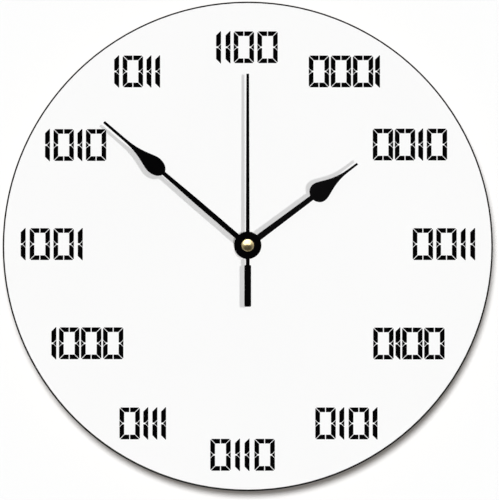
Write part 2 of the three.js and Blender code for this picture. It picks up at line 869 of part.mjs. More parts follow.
function setKnob() {
  const ridge = (2 * Math.PI) / knobRidges;
  const outline = Array.from({ length: 2 * knobRidges }, (_, i) => {
    const radius = knobRadius - (i % 2) * knobRidgeDepth;
    const angle = (ridge * i) / 2;
    return new THREE.Vector2(setting.x + radius * Math.cos(angle), setting.z + radius * Math.sin(angle));
  });
  const head = plate(outline, seat, seat + knobThickness);
  const shaft = rod(knobShaftRadius, hubSides, seat, minuteWheelFrom + wheelThickness + wheelGap, setting);
  return union(head, shaft);
}

// Stepping motor

function stator() {
  const left = coilCentreAcross - coreLength / 2;
  const right = coilCentreAcross + coreLength / 2;
  const top = coilCentreUp + coreWidth;
  const bottom = rotor.z - statorBorder;
  const window = coilCentreUp - bobbinHalfHeight - seat - statorThickness;
  const outline = [
    [left, bottom],
    [rotor.x + statorHeel, bottom],
    [right, bottom + statorSlope],
    [right, top],
    [right - statorLegWidth, top],
    [right - statorLegWidth, window],
    [left + statorLegWidth, window],
    [left + statorLegWidth, top],
    [left, top],
  ].map(([x, z]) => new THREE.Vector2(x, z));
  const post = platePosts.at(-1);
  const holes = [
    circle(magnetRadius + airGap, hubSides, rotor.x, rotor.z),
    circle(postRadius + seat, hubSides, post.x, post.z),
  ];
  return plate(outline, statorFrom, statorFrom + statorThickness, holes);
}

function coilCore() {
  const left = coilCentreAcross - coreLength / 2;
  const right = coilCentreAcross + coreLength / 2;
  const bottom = coilCentreUp - coreWidth / 2;
  const top = coilCentreUp + coreWidth / 2;
  return block(left, right, bottom, top, coreFrom, coreFrom + coreThickness);
}

function bobbinFlangePlate(left) {
  const bottom = coilCentreUp - bobbinHalfHeight;
  const top = coilCentreUp + bobbinHalfHeight;
  return block(left, left + bobbinFlange, bottom, top, rearWall + seat, plateFrom - seat);
}

function coilBobbin() {
  const half = bobbinLength / 2;
  const left = coilCentreAcross - half;
  const right = coilCentreAcross + half;
  const coreHalf = coreWidth / 2 + seat;
  const tubeHalf = coreHalf + bobbinWall;
  const boreFrom = coreFrom - seat;
  const boreTo = coreFrom + coreThickness + seat;
  const tube = block(
    left,
    right,
    coilCentreUp - tubeHalf,
    coilCentreUp + tubeHalf,
    boreFrom - bobbinWall,
    boreTo + bobbinWall,
  );
  const bore = block(
    left - overrun,
    right + overrun,
    coilCentreUp - coreHalf,
    coilCentreUp + coreHalf,
    boreFrom,
    boreTo,
  );
  return cut(union(tube, bobbinFlangePlate(left), bobbinFlangePlate(right - bobbinFlange)), bore);
}

// The winding is a thick sleeve around the bobbin's tube, between its flanges
function coilWinding() {
  const half = bobbinLength / 2 - bobbinFlange - seat;
  const inner = coreWidth / 2 + bobbinWall + 2 * seat;
  const innerDepth = coreThickness / 2 + bobbinWall + 2 * seat;
  const outer = inner + windingThickness;
  const outerDepth = innerDepth + windingThickness;
  const left = coilCentreAcross - half;
  const right = coilCentreAcross + half;
  const sleeve = block(
    left,
    right,
    coilCentreUp - outer,
    coilCentreUp + outer,
    coreMiddle - outerDepth,
    coreMiddle + outerDepth,
  );
  const tunnel = block(
    left - overrun,
    right + overrun,
    coilCentreUp - inner,
    coilCentreUp + inner,
    coreMiddle - innerDepth,
    coreMiddle + innerDepth,
  );
  return cut(sleeve, tunnel);
}

// Electronics and battery

function circuitBoard() {
  const outline = rectangle(-circuitHalfWidth, circuitHalfWidth, circuitBottom, circuitTop);
  const hole = circle(pegRadius + seat, pinSides, circuitPost.x, circuitPost.z);
  return plate(outline, plateFrom, plateTo, [hole]);
}

function chip() {
  const to = plateFrom - seat;
  return rod(chipRadius, hubSides, to - chipHeight, to, { x: chipAcross, z: circuitPost.z });
}

function crystalCan() {
  const geometry = new THREE.CylinderGeometry(crystalRadius, crystalRadius, crystalLength, pinSides);
  geometry.rotateZ(Math.PI / 2);
  geometry.translate(crystalAcross, crystalRadius + seat - plateFrom, circuitPost.z);
  return solidOf(geometry);
}

// A strip along the case's side wall, from the battery's end up to the circuit board
function contactStrip(side) {
  const outer = side * (caseInner - seat);
  const inner = side * (caseInner - seat - contactThickness);
  const bottom = batteryUp - springHeight;
  const from = batteryMiddle - contactHalfWidth;
  const to = batteryMiddle + contactHalfWidth;
  return block(Math.min(outer, inner), Math.max(outer, inner), bottom, contactTop, from, to);
}

function plusContact() {
  const reach = caseInner - seat - contactThickness;
  const length = reach - batteryLength / 2 - contactSlack;
  const geometry = new THREE.CylinderGeometry(
    contactPipRadius,
    contactPipRadius,
    length + contactThickness / 2,
    hubSides,
  );
  geometry.rotateZ(Math.PI / 2);
  geometry.translate(reach + (contactThickness / 2 - length) / 2, -batteryMiddle, batteryUp);
  return union(contactStrip(1), solidOf(geometry));
}

// The minus contact is a strip with a bowed leaf that presses on the battery's flat end
function minusContact() {
  const face = -(caseInner - seat - contactThickness);
  const crest = face + springReach;
  const bottom = batteryUp - springHeight;
  const top = batteryUp + springHeight;
  const back = face - contactThickness / 2;
  const bow = [
    [back, bottom],
    [crest, batteryUp - springHeight * springCrestShare],
    [crest, batteryUp + springHeight * springCrestShare],
    [back, top],
  ].map(([x, z]) => new THREE.Vector2(x, z));
  const from = batteryMiddle - contactHalfWidth;
  const to = batteryMiddle + contactHalfWidth;
  return union(contactStrip(-1), plate(bow, from, to));
}

function battery() {
  const shoulder = batteryLength - batteryNubLength;
  const profile = [
    [0, 0],
    [batteryRadius - batteryCorner, 0],
    [batteryRadius, batteryCorner],
    [batteryRadius, shoulder - batteryCorner],
    [batteryRadius - batteryCorner, shoulder],
    [batteryNubRadius, shoulder],
    [batteryNubRadius, batteryLength],
    [0, batteryLength],
  ].map(([radius, along]) => new THREE.Vector2(radius, along));
  const geometry = new THREE.LatheGeometry(profile, hubSides);
  geometry.rotateZ(-Math.PI / 2);
  geometry.translate(-batteryLength / 2, -batteryMiddle, batteryUp);
  return solidOf(geometry);
}

// Finishes

function finish(color, roughness, metalness) {
  return new THREE.MeshStandardMaterial({ color, roughness, metalness });
}

const finishes = {
  darkBoard: finish(0x1a1817, 0.6, 0),
  whiteDial: finish(0xf4f4f2, 0.45, 0),
  blackHand: finish(0x0c0b0d, 0.4, 0.1),
  brass: finish(0xc9a55c, 0.3, 1),
  blackPlastic: finish(0x1d1d1f, 0.55, 0),
  steel: finish(0xb4b6b8, 0.35, 1),
  iron: finish(0x8c8d90, 0.5, 1),
  copper: finish(0xb4622d, 0.35, 1),
  magnet: finish(0x55565a, 0.4, 1),
  rubber: finish(0x222222, 0.85, 0),
  palePlastic: finish(0xe9e6da, 0.5, 0),
  amberPlastic: finish(0xd8c08a, 0.5, 0),
  circuit: finish(0x2f6a3c, 0.5, 0),
  epoxy: finish(0x101010, 0.35, 0),
  nickel: finish(0xc8c6c0, 0.25, 1),
  batteryWrap: finish(0x3a4048, 0.35, 0.4),
};

// The whole clock

const clock = new THREE.Group();

function add(name, solid, material, angle = 0) {
  const mesh = new THREE.Mesh(geometryOf(solid), material);
  mesh.name = name;
  mesh.rotation.y = THREE.MathUtils.degToRad(angle);
  clock.add(mesh);
}

add("board", board(), finishes.darkBoard);
add("dial_face", dialFace(), finishes.whiteDial);
const hourPlate = spadeHand(hourHand, hourHandFrom, hourPipeRadius);
const minutePlate = spadeHand(minuteHand, minuteHandFrom, minutePipeRadius);
add("hour_hand", hourPlate, finishes.blackHand, hourHand.angle);
add("minute_hand", minutePlate, finishes.blackHand, minuteHand.angle);
add("second_hand", secondHandPlate(), finishes.blackHand, secondHand.angle);
add("second_hand_tube", secondHandTube(), finishes.brass);
add("shaft_cap", shaftCap(), finishes.brass);

add("threaded_bush", threadedBush(), finishes.brass);
add("washer", washer(), finishes.brass);
add("hex_nut", hexNut(), finishes.brass);
add("gasket", gasket(), finishes.rubber);
add("hanger", hangerPlate(), finishes.steel);

add("case_back", caseBack(), finishes.blackPlastic);
add("case_front", caseFront(), finishes.blackPlastic);
add("train_plate", trainPlate(), finishes.palePlastic);
add("set_knob", setKnob(), finishes.palePlastic);
add("set_pinion", setPinion(), finishes.amberPlastic);

add("rotor_magnet", rotorMagnet(), finishes.magnet);
add("rotor_pinion", rotorPinion(), finishes.amberPlastic);
add("idler_wheel", idlerWheel(), finishes.palePlastic);
add("seconds_wheel", secondsWheel(), finishes.amberPlastic);
add("third_wheel", thirdWheel(), finishes.palePlastic);
add("centre_wheel", centreWheel(), finishes.amberPlastic);
add("minute_pipe", minutePipe(), finishes.brass);
add("minute_wheel", minuteWheel(), finishes.palePlastic);
add("hour_wheel", hourWheel(), finishes.amberPlastic);

add("stator", stator(), finishes.iron);
add("coil_core", coilCore(), finishes.iron);
add("coil_bobbin", coilBobbin(), finishes.palePlastic);
add("coil_winding", coilWinding(), finishes.copper);
add("circuit_board", circuitBoard(), finishes.circuit);
add("chip", chip(), finishes.epoxy);
add("crystal_can", crystalCan(), finishes.nickel);
add("plus_contact", plusContact(), finishes.nickel);
add("minus_contact", minusContact(), finishes.nickel);
add("battery", battery(), finishes.batteryWrap);

export default clock;
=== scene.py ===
# A round wooden wall clock with binary numerals: the finish of every piece, the wall behind it and the light.
# Lengths are in metres. The dial faces -Y, +X is to its right and +Z is up. A depth is a distance from the
# wall towards the viewer, so the point at depth d has y = -d.
import json
import math

import bmesh
import bpy
from mathutils import Matrix, Vector


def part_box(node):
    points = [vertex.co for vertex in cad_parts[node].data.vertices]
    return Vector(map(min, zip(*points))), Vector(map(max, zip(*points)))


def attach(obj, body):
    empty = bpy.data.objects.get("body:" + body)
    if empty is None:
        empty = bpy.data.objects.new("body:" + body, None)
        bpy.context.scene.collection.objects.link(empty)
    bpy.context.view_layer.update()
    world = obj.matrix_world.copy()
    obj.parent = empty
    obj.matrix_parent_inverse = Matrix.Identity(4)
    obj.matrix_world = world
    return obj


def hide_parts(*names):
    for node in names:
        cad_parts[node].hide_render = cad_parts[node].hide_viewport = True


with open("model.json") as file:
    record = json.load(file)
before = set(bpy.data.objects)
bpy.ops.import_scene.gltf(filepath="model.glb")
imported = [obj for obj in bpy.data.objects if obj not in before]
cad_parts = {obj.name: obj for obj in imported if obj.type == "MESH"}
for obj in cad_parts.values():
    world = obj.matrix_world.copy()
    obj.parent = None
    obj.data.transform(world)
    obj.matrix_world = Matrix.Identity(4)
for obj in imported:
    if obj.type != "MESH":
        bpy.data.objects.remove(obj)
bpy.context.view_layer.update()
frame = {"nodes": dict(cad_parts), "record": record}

MM = 0.001
QUARTER_TURN = math.radians(90)
BODY_OF = {node: body for body, nodes in frame["record"]["behaviour"]["bodies"].items() for node in nodes}

# The photograph, taken from far away and from a little below
CAMERA_RISE = math.radians(3)
IMAGE_LONG_SIDE_PX = 500
IMAGE_CENTRE_PX = (249.5, 250)
RIM_CENTRE_PX = (247.75, 246.1)
RIM_RADIUS_PX = 245.1
CAMERA_DISTANCE = 8.0


def new_object(name, data):
    """An object that is in the scene."""
    made = bpy.data.objects.new(name, data)
    bpy.context.scene.collection.objects.link(made)
    return made


def photograph_camera():
    board_low, board_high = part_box("board")
    pixel = board_high.x / RIM_RADIUS_PX
    across = (IMAGE_CENTRE_PX[0] - RIM_CENTRE_PX[0]) * pixel
    up = (RIM_CENTRE_PX[1] - IMAGE_CENTRE_PX[1]) * pixel
    camera = bpy.data.cameras.new("camera")
    camera.lens = camera.sensor_width * CAMERA_DISTANCE / (IMAGE_LONG_SIDE_PX * pixel)
    turn = Matrix.Rotation(QUARTER_TURN + CAMERA_RISE, 4, "X")
    middle = Matrix.Translation((0, board_low.y, (board_low.z + board_high.z) / 2))
    holder = new_object("camera", camera)
    holder.matrix_world = middle @ turn @ Matrix.Translation((across, up, CAMERA_DISTANCE))
    bpy.context.scene.camera = holder


photograph_camera()


# Nodes, for materials and for geometry

class Wire:
    """What comes out of one node. Operators on it add Math nodes."""

    def __init__(self, nodes, socket):
        self.nodes = nodes
        self.socket = socket

    def joined(self, operation, *values):
        return self.nodes.node("ShaderNodeMath", {"operation": operation}, dict(enumerate(values)))

    def __add__(self, other):
        return self.joined("ADD", self, other)

    __radd__ = __add__

    def __sub__(self, other):
        return self.joined("SUBTRACT", self, other)

    def __rsub__(self, other):
        return self.joined("SUBTRACT", other, self)

    def __mul__(self, other):
        return self.joined("MULTIPLY", self, other)

    __rmul__ = __mul__

    def __pow__(self, other):
        return self.joined("POWER", self, other)

    def __lt__(self, other):
        return self.joined("LESS_THAN", self, other)

    def __gt__(self, other):
        return self.joined("GREATER_THAN", self, other)

    def __abs__(self):
        return self.joined("ABSOLUTE", self)

    def root(self):
        return self.joined("SQRT", self)

    def larger(self, other):
        return self.joined("MAXIMUM", self, other)

    def sine(self, length):
        """A sine wave of the given length, from -1 to 1."""
        return self.joined("SINE", self * (2 * math.pi / length))

    def wave(self, length):
        """The same wave, from 0 to 1."""
        return self.sine(length) * 0.5 + 0.5


class Nodes:
    """A node tree that is built one node at a time."""

    def __init__(self, tree):
        self.tree = tree
        self.tree.nodes.clear()

    def node(self, kind, settings=None, inputs=None, output=0):
        made = self.tree.nodes.new(kind)
        for name, value in (settings or {}).items():
            setattr(made, name, value)
        for name, value in (inputs or {}).items():
            if isinstance(value, Wire):
                self.tree.links.new(value.socket, made.inputs[name])
            else:
                made.inputs[name].default_value = value
        return Wire(self, made.outputs[output]) if made.outputs else None

    def split(self, vector):
        """A vector's parts along X, Y and Z."""
        separator = self.node("ShaderNodeSeparateXYZ", {}, {"Vector": vector}).socket.node
        return [Wire(self, part) for part in separator.outputs]

    def step(self, value, low, high):
        """A smooth step from 0 at low to 1 at high."""
        sockets = {"Value": value, "From Min": low, "From Max": high}
        return self.node("ShaderNodeMapRange", {"interpolation_type": "SMOOTHSTEP"}, sockets)


PLAIN_SHINE = 0.5


class Finish(Nodes):
    """A material whose patterns follow the piece's own coordinates."""

    def __init__(self, name):
        self.material = bpy.data.materials.new(name)
        self.material.use_nodes = True
        super().__init__(self.material.node_tree)
        self.place = self.node("ShaderNodeTexCoord", output="Object")

    def axes(self):
        return self.split(self.place)

    def noise(self, size, detail, stretch=(1, 1, 1), distortion=0.0):
        """Noise in patches of about the given size, drawn out along the axes by the stretch."""
        scale = [1 / (size * share) for share in stretch]
        placed = self.node("ShaderNodeMapping", {}, {"Vector": self.place, "Scale": scale})
        sockets = {"Vector": placed, "Scale": 1, "Detail": detail, "Distortion": distortion}
        return self.node("ShaderNodeTexNoise", {}, sockets)

    def tint(self, share, first, second):
        """A colour between two, by a share that may change over the surface."""
        colours = [c if isinstance(c, Wire) else (*c, 1) for c in (first, second)]
        sockets = {0: share, 6: colours[0], 7: colours[1]}
        return self.node("ShaderNodeMix", {"data_type": "RGBA"}, sockets, 2)

    def from_axis(self):
        """The distance of a point from the axis of the hands."""
        across, _, up = self.axes()
        return (across * across + up * up).root()

    def surface(self, colour, roughness, height, relief, shine=PLAIN_SHINE, fixed=None):
        """Closes the material. The height is a pattern from 0 to 1, and the relief is its depth."""
        sockets = {"Base Color": colour, "Roughness": roughness, "Specular IOR Level": shine, **(fixed or {})}
        sockets["Normal"] = self.node("ShaderNodeBump", {}, {"Height": height, "Distance": relief})
        shader = self.node("ShaderNodeBsdfPrincipled", {}, sockets)
        self.node("ShaderNodeOutputMaterial", {}, {"Surface": shader})
        return self.material


# Finishes. Their tones come in pairs, and a pattern mixes the two.

METAL = {"Metallic": 1.0}
BLACK = (0.0005, 0.00045, 0.00055)
WHITE_TONES = ((0.925, 0.925, 0.922), (0.94, 0.94, 0.938))
INK_TONES = (BLACK, (0.001, 0.0009, 0.0011))
RIM_TONES = ((0.009, 0.0087, 0.0087), (0.022, 0.02, 0.018))
VENEER_TONES = ((0.66, 0.475, 0.285), (0.46, 0.29, 0.15))
VENEER_CLOUD = (0.56, 0.37, 0.2)
VENEER_PORE = (0.25, 0.14, 0.065)
HAND_TONES = (BLACK, (0.0011, 0.001, 0.0012))
HOUR_HAND_TONES = ((0.0018, 0.0017, 0.0019), (0.0028, 0.0026, 0.0028))
CAP_BRASS_TONES = ((0.89, 0.74, 0.42), (0.8, 0.62, 0.3))
BRASS_TONES = ((0.82, 0.64, 0.33), (0.66, 0.47, 0.22))
RUBBER_TONES = ((0.022, 0.022, 0.023), (0.042, 0.041, 0.04))
ZINC_TONES = ((0.6, 0.615, 0.635), (0.7, 0.7, 0.685))
CASE_TONES = ((0.016, 0.016, 0.017), (0.026, 0.026, 0.028))
PALE_TONES = ((0.8, 0.785, 0.71), (0.7, 0.68, 0.59))
AMBER_TONES = ((0.71, 0.55, 0.29), (0.6, 0.43, 0.2))
IRON_TONES = ((0.42, 0.4, 0.36), (0.3, 0.32, 0.38))
MAGNET_TONES = ((0.1, 0.1, 0.11), (0.24, 0.24, 0.25))
COPPER_TONES = ((0.56, 0.2, 0.08), (0.72, 0.31, 0.13))
MASK_TONES = ((0.012, 0.085, 0.03), (0.035, 0.19, 0.06))
EPOXY_TONES = ((0.008, 0.008, 0.009), (0.016, 0.016, 0.017))
NICKEL_TONES = ((0.66, 0.63, 0.57), (0.74, 0.72, 0.67))


def white_laminate():
    finish = Finish("white_laminate")
    cloud = finish.noise(size=70 * MM, detail=3)
    skin = finish.noise(size=0.9 * MM, detail=2)
    colour = finish.tint(cloud, *WHITE_TONES)
    roughness = 0.36 + 0.1 * cloud
    return finish.surface(colour, roughness, skin, relief=0.003 * MM, shine=0.4)


def numeral_ink():
    finish = Finish("numeral_ink")
    grain = finish.noise(size=0.5 * MM, detail=3)
    colour = finish.tint(grain, *INK_TONES)
    roughness = 0.5 + 0.15 * grain
    return finish.surface(colour, roughness, grain, relief=0.004 * MM, shine=0.02)


def edge_paint():
    """Satin black paint over the board's sanded edge, whose layers still show faintly."""
    finish = Finish("edge_paint")
    layers = finish.noise(size=0.9 * MM, detail=2, stretch=(60, 1, 60))
    fleck = finish.noise(size=1.6 * MM, detail=4)
    colour = finish.tint(finish.step(fleck, low=0.45, high=0.75), *RIM_TONES)
    roughness = 0.45 + 0.2 * fleck
    height = 0.6 * layers + 0.4 * fleck
    return finish.surface(colour, roughness, height, relief=0.03 * MM, shine=0.12)


# The growth rings on the board's back: the middle of their arch, its slope, and the rings' sway and spacing
ARCH_ACROSS = 42 * MM
ARCH_UP = 70 * MM
ARCH_SLOPE = 0.17
RING_SWAY = 22 * MM
RING_SPACING = 8.5 * MM


def birch_back():
    """The bare veneer on the board's back, with its grain upright."""
    finish = Finish("birch_back")
    across, _, up = finish.axes()
    sway = finish.noise(size=55 * MM, detail=2, stretch=(1, 1, 4))
    arch_across = across - ARCH_ACROSS
    arch_up = (up - ARCH_UP) * ARCH_SLOPE
    ring = (arch_across * arch_across + arch_up * arch_up).root() + sway * RING_SWAY
    late_wood = ring.wave(RING_SPACING) ** 3
    fibre = finish.noise(size=0.4 * MM, detail=3, stretch=(1, 1, 45))
    dots = finish.noise(size=0.55 * MM, detail=1, stretch=(1, 1, 16))
    pore = finish.step(dots, low=0.62, high=0.72)
    cloud = finish.noise(size=40 * MM, detail=3, stretch=(1, 1, 3))
    colour = finish.tint(late_wood * 0.5 + fibre * 0.35, *VENEER_TONES)
    colour = finish.tint(cloud * 0.3, colour, VENEER_CLOUD)
    colour = finish.tint(pore * 0.45, colour, VENEER_PORE)
    roughness = 0.52 + 0.15 * fibre
    height = fibre * 0.5 + (1 - pore) * 0.5
    return finish.surface(colour, roughness, height, relief=0.05 * MM, shine=0.35)


def hand_paint(name, tones, shine):
    """Black paint on the hands. The hour hand's is a little paler."""
    finish = Finish(name)
    peel = finish.noise(size=0.7 * MM, detail=2)
    cloud = finish.noise(size=9 * MM, detail=3)
    colour = finish.tint(cloud, *tones)
    roughness = 0.22 + 0.1 * cloud
    return finish.surface(colour, roughness, peel, relief=0.006 * MM, shine=shine)


TOOL_MARK_SPACING = 0.16 * MM


def turned_brass(name, tones, groove):
    """Brass with the fine rings that a lathe leaves around the axis of the hands."""
    finish = Finish(name)
    ring = finish.from_axis().wave(TOOL_MARK_SPACING)
    stain = finish.noise(size=2.2 * MM, detail=4)
    speck = finish.noise(size=0.12 * MM, detail=2)
    colour = finish.tint(finish.step(stain, low=0.35, high=0.75), *tones)
    roughness = 0.16 + 0.14 * stain
    height = ring * 0.7 + speck * 0.3
    return finish.surface(colour, roughness, height, relief=groove, fixed=METAL)


def black_rubber():
    finish = Finish("black_rubber")
    bloom = finish.noise(size=5 * MM, detail=4)
    skin = finish.noise(size=0.18 * MM, detail=3)
    colour = finish.tint(bloom, *RUBBER_TONES)
    roughness = 0.72 + 0.16 * bloom
    return finish.surface(colour, roughness, skin, relief=0.02 * MM, shine=0.3)


def zinc_steel():
    """Zinc plated sheet with the brushed lines of its rolling."""
    finish = Finish("zinc_steel")
    lines = finish.noise(size=0.12 * MM, detail=3, stretch=(60, 1, 1))
    spangle = finish.noise(size=6 * MM, detail=3, distortion=0.6)
    colour = finish.tint(spangle, *ZINC_TONES)
    roughness = 0.28 + 0.14 * lines + 0.1 * spangle
    return finish.surface(colour, roughness, lines, relief=0.006 * MM, fixed=METAL)


def case_plastic():
    """Black moulded plastic with a fine spark-eroded texture."""
    finish = Finish("case_plastic")
    texture = finish.noise(size=0.28 * MM, detail=3)
    flow = finish.noise(size=18 * MM, detail=3, stretch=(1, 1, 2))
    colour = finish.tint(flow, *CASE_TONES)
    roughness = 0.42 + 0.12 * flow + 0.08 * texture
    return finish.surface(colour, roughness, texture, relief=0.02 * MM, shine=0.45)


def moulded_plastic(name, tones):
    """Natural plastic of the wheels and plates, a little cloudy from its moulding."""
    finish = Finish(name)
    flow = finish.noise(size=4.5 * MM, detail=3, distortion=0.8)
    skin = finish.noise(size=0.15 * MM, detail=2)
    colour = finish.tint(flow, *tones)
    roughness = 0.34 + 0.14 * flow
    milky = {"Subsurface Weight": 0.1, "Subsurface Scale": 0.6 * MM}
    return finish.surface(colour, roughness, skin, relief=0.004 * MM, shine=0.45, fixed=milky)


def soft_iron():
    """Stamped and annealed iron, with the straw and blue stains of the heat."""
    finish = Finish("soft_iron")
    heat = finish.noise(size=7 * MM, detail=3, distortion=0.4)
    lines = finish.noise(size=0.1 * MM, detail=3, stretch=(1, 1, 40))
    colour = finish.tint(finish.step(heat, low=0.35, high=0.65), *IRON_TONES)
    roughness = 0.36 + 0.2 * lines
    return finish.surface(colour, roughness, lines, relief=0.006 * MM, fixed=METAL)


def sintered_magnet():
    finish = Finish("sintered_magnet")
    grain = finish.noise(size=0.16 * MM, detail=4)
    colour = finish.tint(grain, *MAGNET_TONES)
    roughness = 0.45 + 0.25 * grain
    dull_metal = {"Metallic": 0.8}
    return finish.surface(colour, roughness, grain, relief=0.02 * MM, fixed=dull_metal)


def enamelled_copper():
    finish = Finish("enamelled_copper")
    shade = finish.noise(size=1.4 * MM, detail=3)
    colour = finish.tint(shade, *COPPER_TONES)
    roughness = 0.26 + 0.12 * shade
    enamel = {**METAL, "Coat Weight": 0.7, "Coat Roughness": 0.12}
    return finish.surface(colour, roughness, shade, relief=0.002 * MM, fixed=enamel)


TRACK_BEND = 3 * MM
TRACK_SPACING = 1.5 * MM
WEAVE_SPACING = 0.5 * MM


def circuit_laminate():
    """Green solder mask over copper tracks, with the weave of the laminate beneath."""
    finish = Finish("circuit_laminate")
    across, _, up = finish.axes()
    bend = finish.noise(size=9 * MM, detail=0)
    track = (up + bend * TRACK_BEND).sine(TRACK_SPACING)
    zone = finish.noise(size=7 * MM, detail=1)
    copper = finish.step(track, low=0.25, high=0.5) * finish.step(zone, low=0.42, high=0.46)
    weave = across.sine(WEAVE_SPACING) * up.sine(WEAVE_SPACING)
    colour = finish.tint(copper, *MASK_TONES)
    roughness = 0.3 + 0.06 * weave
    height = copper * 0.8 + (weave * 0.5 + 0.5) * 0.2
    return finish.surface(colour, roughness, height, relief=0.03 * MM)


def cast_epoxy():
    finish = Finish("cast_epoxy")
    skin = finish.noise(size=1.1 * MM, detail=3)
    colour = finish.tint(skin, *EPOXY_TONES)
    roughness = 0.18 + 0.12 * skin
    return finish.surface(colour, roughness, skin, relief=0.03 * MM)


def nickel_plate():
    finish = Finish("nickel_plate")
    lines = finish.noise(size=0.1 * MM, detail=3, stretch=(1, 1, 30))
    haze = finish.noise(size=3 * MM, detail=3)
    colour = finish.tint(haze, *NICKEL_TONES)
    roughness = 0.2 + 0.12 * lines + 0.06 * haze
    return finish.surface(colour, roughness, lines, relief=0.004 * MM, fixed=METAL)


# The battery's sleeve: dark with a pale band at its plus end, and a plain mark for each pole
SLEEVE_DARK = (0.03, 0.062, 0.1)
SLEEVE_PALE = (0.55, 0.56, 0.57)
SLEEVE_BAND = 11 * MM
SLEEVE_BAND_EDGE = 0.1 * MM
MARK_LENGTH = 3.4 * MM
MARK_WIDTH = 0.8 * MM
MARK_INSET = 5.5 * MM


def battery_sleeve():
    finish = Finish("battery_sleeve")
    low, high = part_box("battery")
    middle = (low + high) / 2
    x, y, z = finish.axes()
    facing_out = y > middle.y
    up = abs(z - middle.z)
    from_plus = abs(x - (high.x - MARK_INSET))
    from_minus = abs(x - (low.x + MARK_INSET))
    plus_upright = (from_plus < MARK_WIDTH / 2) * (up < MARK_LENGTH / 2)
    plus_level = (from_plus < MARK_LENGTH / 2) * (up < MARK_WIDTH / 2)
    plus = plus_upright.larger(plus_level) * facing_out
    minus = (from_minus < MARK_WIDTH / 2) * (up < MARK_LENGTH / 2) * facing_out
    band = finish.step(x, high.x - SLEEVE_BAND - SLEEVE_BAND_EDGE, high.x - SLEEVE_BAND)
    wrinkle = finish.noise(size=3 * MM, detail=3, stretch=(0.35, 1, 1))
    colour = finish.tint(band, SLEEVE_DARK, SLEEVE_PALE)
    colour = finish.tint(plus, colour, SLEEVE_DARK)
    colour = finish.tint(minus, colour, SLEEVE_PALE)
    roughness = 0.28 + 0.1 * wrinkle
    film = {"Metallic": 0.35, "Coat Weight": 0.6, "Coat Roughness": 0.15}
    return finish.surface(colour, roughness, wrinkle, relief=0.02 * MM, fixed=film)


FINISHES = {
    "white": white_laminate(),
    "ink": numeral_ink(),
    "edge": edge_paint(),
    "birch": birch_back(),
    "hand": hand_paint("hand_paint", HAND_TONES, shine=0.06),
    "hour": hand_paint("hour_hand_paint", HOUR_HAND_TONES, shine=0.1),
    "cap": turned_brass("cap_brass", CAP_BRASS_TONES, groove=0.004 * MM),
    "brass": turned_brass("turned_brass", BRASS_TONES, groove=0.0022 * MM),
    "rubber": black_rubber(),
    "zinc": zinc_steel(),
    "case": case_plastic(),
    "pale": moulded_plastic("pale_plastic", PALE_TONES),
    "amber": moulded_plastic("amber_plastic", AMBER_TONES),
    "iron": soft_iron(),
    "magnet": sintered_magnet(),
    "copper": enamelled_copper(),
    "laminate": circuit_laminate(),
    "epoxy": cast_epoxy(),
    "nickel": nickel_plate(),
    "sleeve": battery_sleeve(),
}


# Meshes

TINY = 1e-7
MERGE_DISTANCE = 1e-6
FLAT_ANGLE = math.radians(0.5)
BEVEL_ANGLE = math.radians(28)
SMOOTH_ANGLE = math.radians(40)
SIDE_FACING = 0.5
SAME_WAY = 0.9999
HUB_RADIUS = 5 * MM
LEAST_CORNER = 0.2
EASE_STEPS = 3
ROUND_SIDES = 96
FACING_VIEWER = Matrix.Rotation(QUARTER_TURN, 4, "X")
ALONG_X = Matrix.Rotation(QUARTER_TURN, 4, "Y")


def eased(outline, radius, steps=EASE_STEPS):
    """An outline with its corners rounded, apart from those on the axis."""
    points = []
    for i, corner in enumerate(outline):
        corner = Vector(corner)
        if corner.x < TINY:
            points.append(corner)
            continue
        before = Vector(outline[i - 1]) - corner
        after = Vector(outline[(i + 1) % len(outline)]) - corner
        start = corner + before.normalized() * min(radius, before.length / 2)
        end = corner + after.normalized() * min(radius, after.length / 2)
        for step in range(steps + 1):
            share = step / steps
            point = start.lerp(corner, share).lerp(corner.lerp(end, share), share)
            if not points or (point - points[-1]).length > TINY:
                points.append(point)
    if (points[0] - points[-1]).length < TINY:
        points.pop()
    return points


def lathe(outline, placed, sides):
    """A mesh that turns an outline of (radius, height) points about Z and is then put in its place."""
    shape = bmesh.new()
    rings = []
    for radius, height in outline:
        count = 1 if radius < TINY else sides
        turns = [2 * math.pi * i / count for i in range(count)]
        points = [(radius * math.cos(turn), radius * math.sin(turn), height) for turn in turns]
        rings.append([shape.verts.new(point) for point in points])
    pairs = list(zip(rings, rings[1:]))
    if len(rings[0]) > 1:
        pairs.append((rings[-1], rings[0]))
    for first, second in pairs:
        for i in range(sides):
            corners = [(first, i), (first, i + 1), (second, i + 1), (second, i)]
            shape.faces.new(list(dict.fromkeys(ring[place % len(ring)] for ring, place in corners)))
    bmesh.ops.recalc_face_normals(shape, faces=shape.faces)
    shape.transform(placed)
    return to_mesh(shape)


def to_mesh(shape):
    mesh = bpy.data.meshes.new("piece")
    shape.to_mesh(mesh)
    shape.free()
    return mesh


def merged(node):
    """A CAD node's triangles, joined at their corners."""
    shape = bmesh.new()
    shape.from_mesh(frame["nodes"][node].data)
    bmesh.ops.remove_doubles(shape, verts=shape.verts, dist=MERGE_DISTANCE)
    shape.normal_update()
    return shape


def merged_copy(node, spread=0.0):
    """A CAD node's mesh with its triangles joined into whole flat faces."""
    shape = merged(node)
    if spread:
        spread_outline(shape, spread)
    bmesh.ops.dissolve_limit(shape, angle_limit=FLAT_ANGLE, verts=shape.verts, edges=shape.edges)
    shape.verts.index_update()
    points = [vertex.co.copy() for vertex in shape.verts]
    faces = [[vertex.index for vertex in face.verts] for face in shape.faces]
    shape.free()
    mesh = bpy.data.meshes.new("piece")
    mesh.from_pydata(points, [], faces)
    return mesh


def faces_sideways(face):
    """Whether a flat plate's face is part of its outline."""
    return abs(face.normal.y) < SIDE_FACING


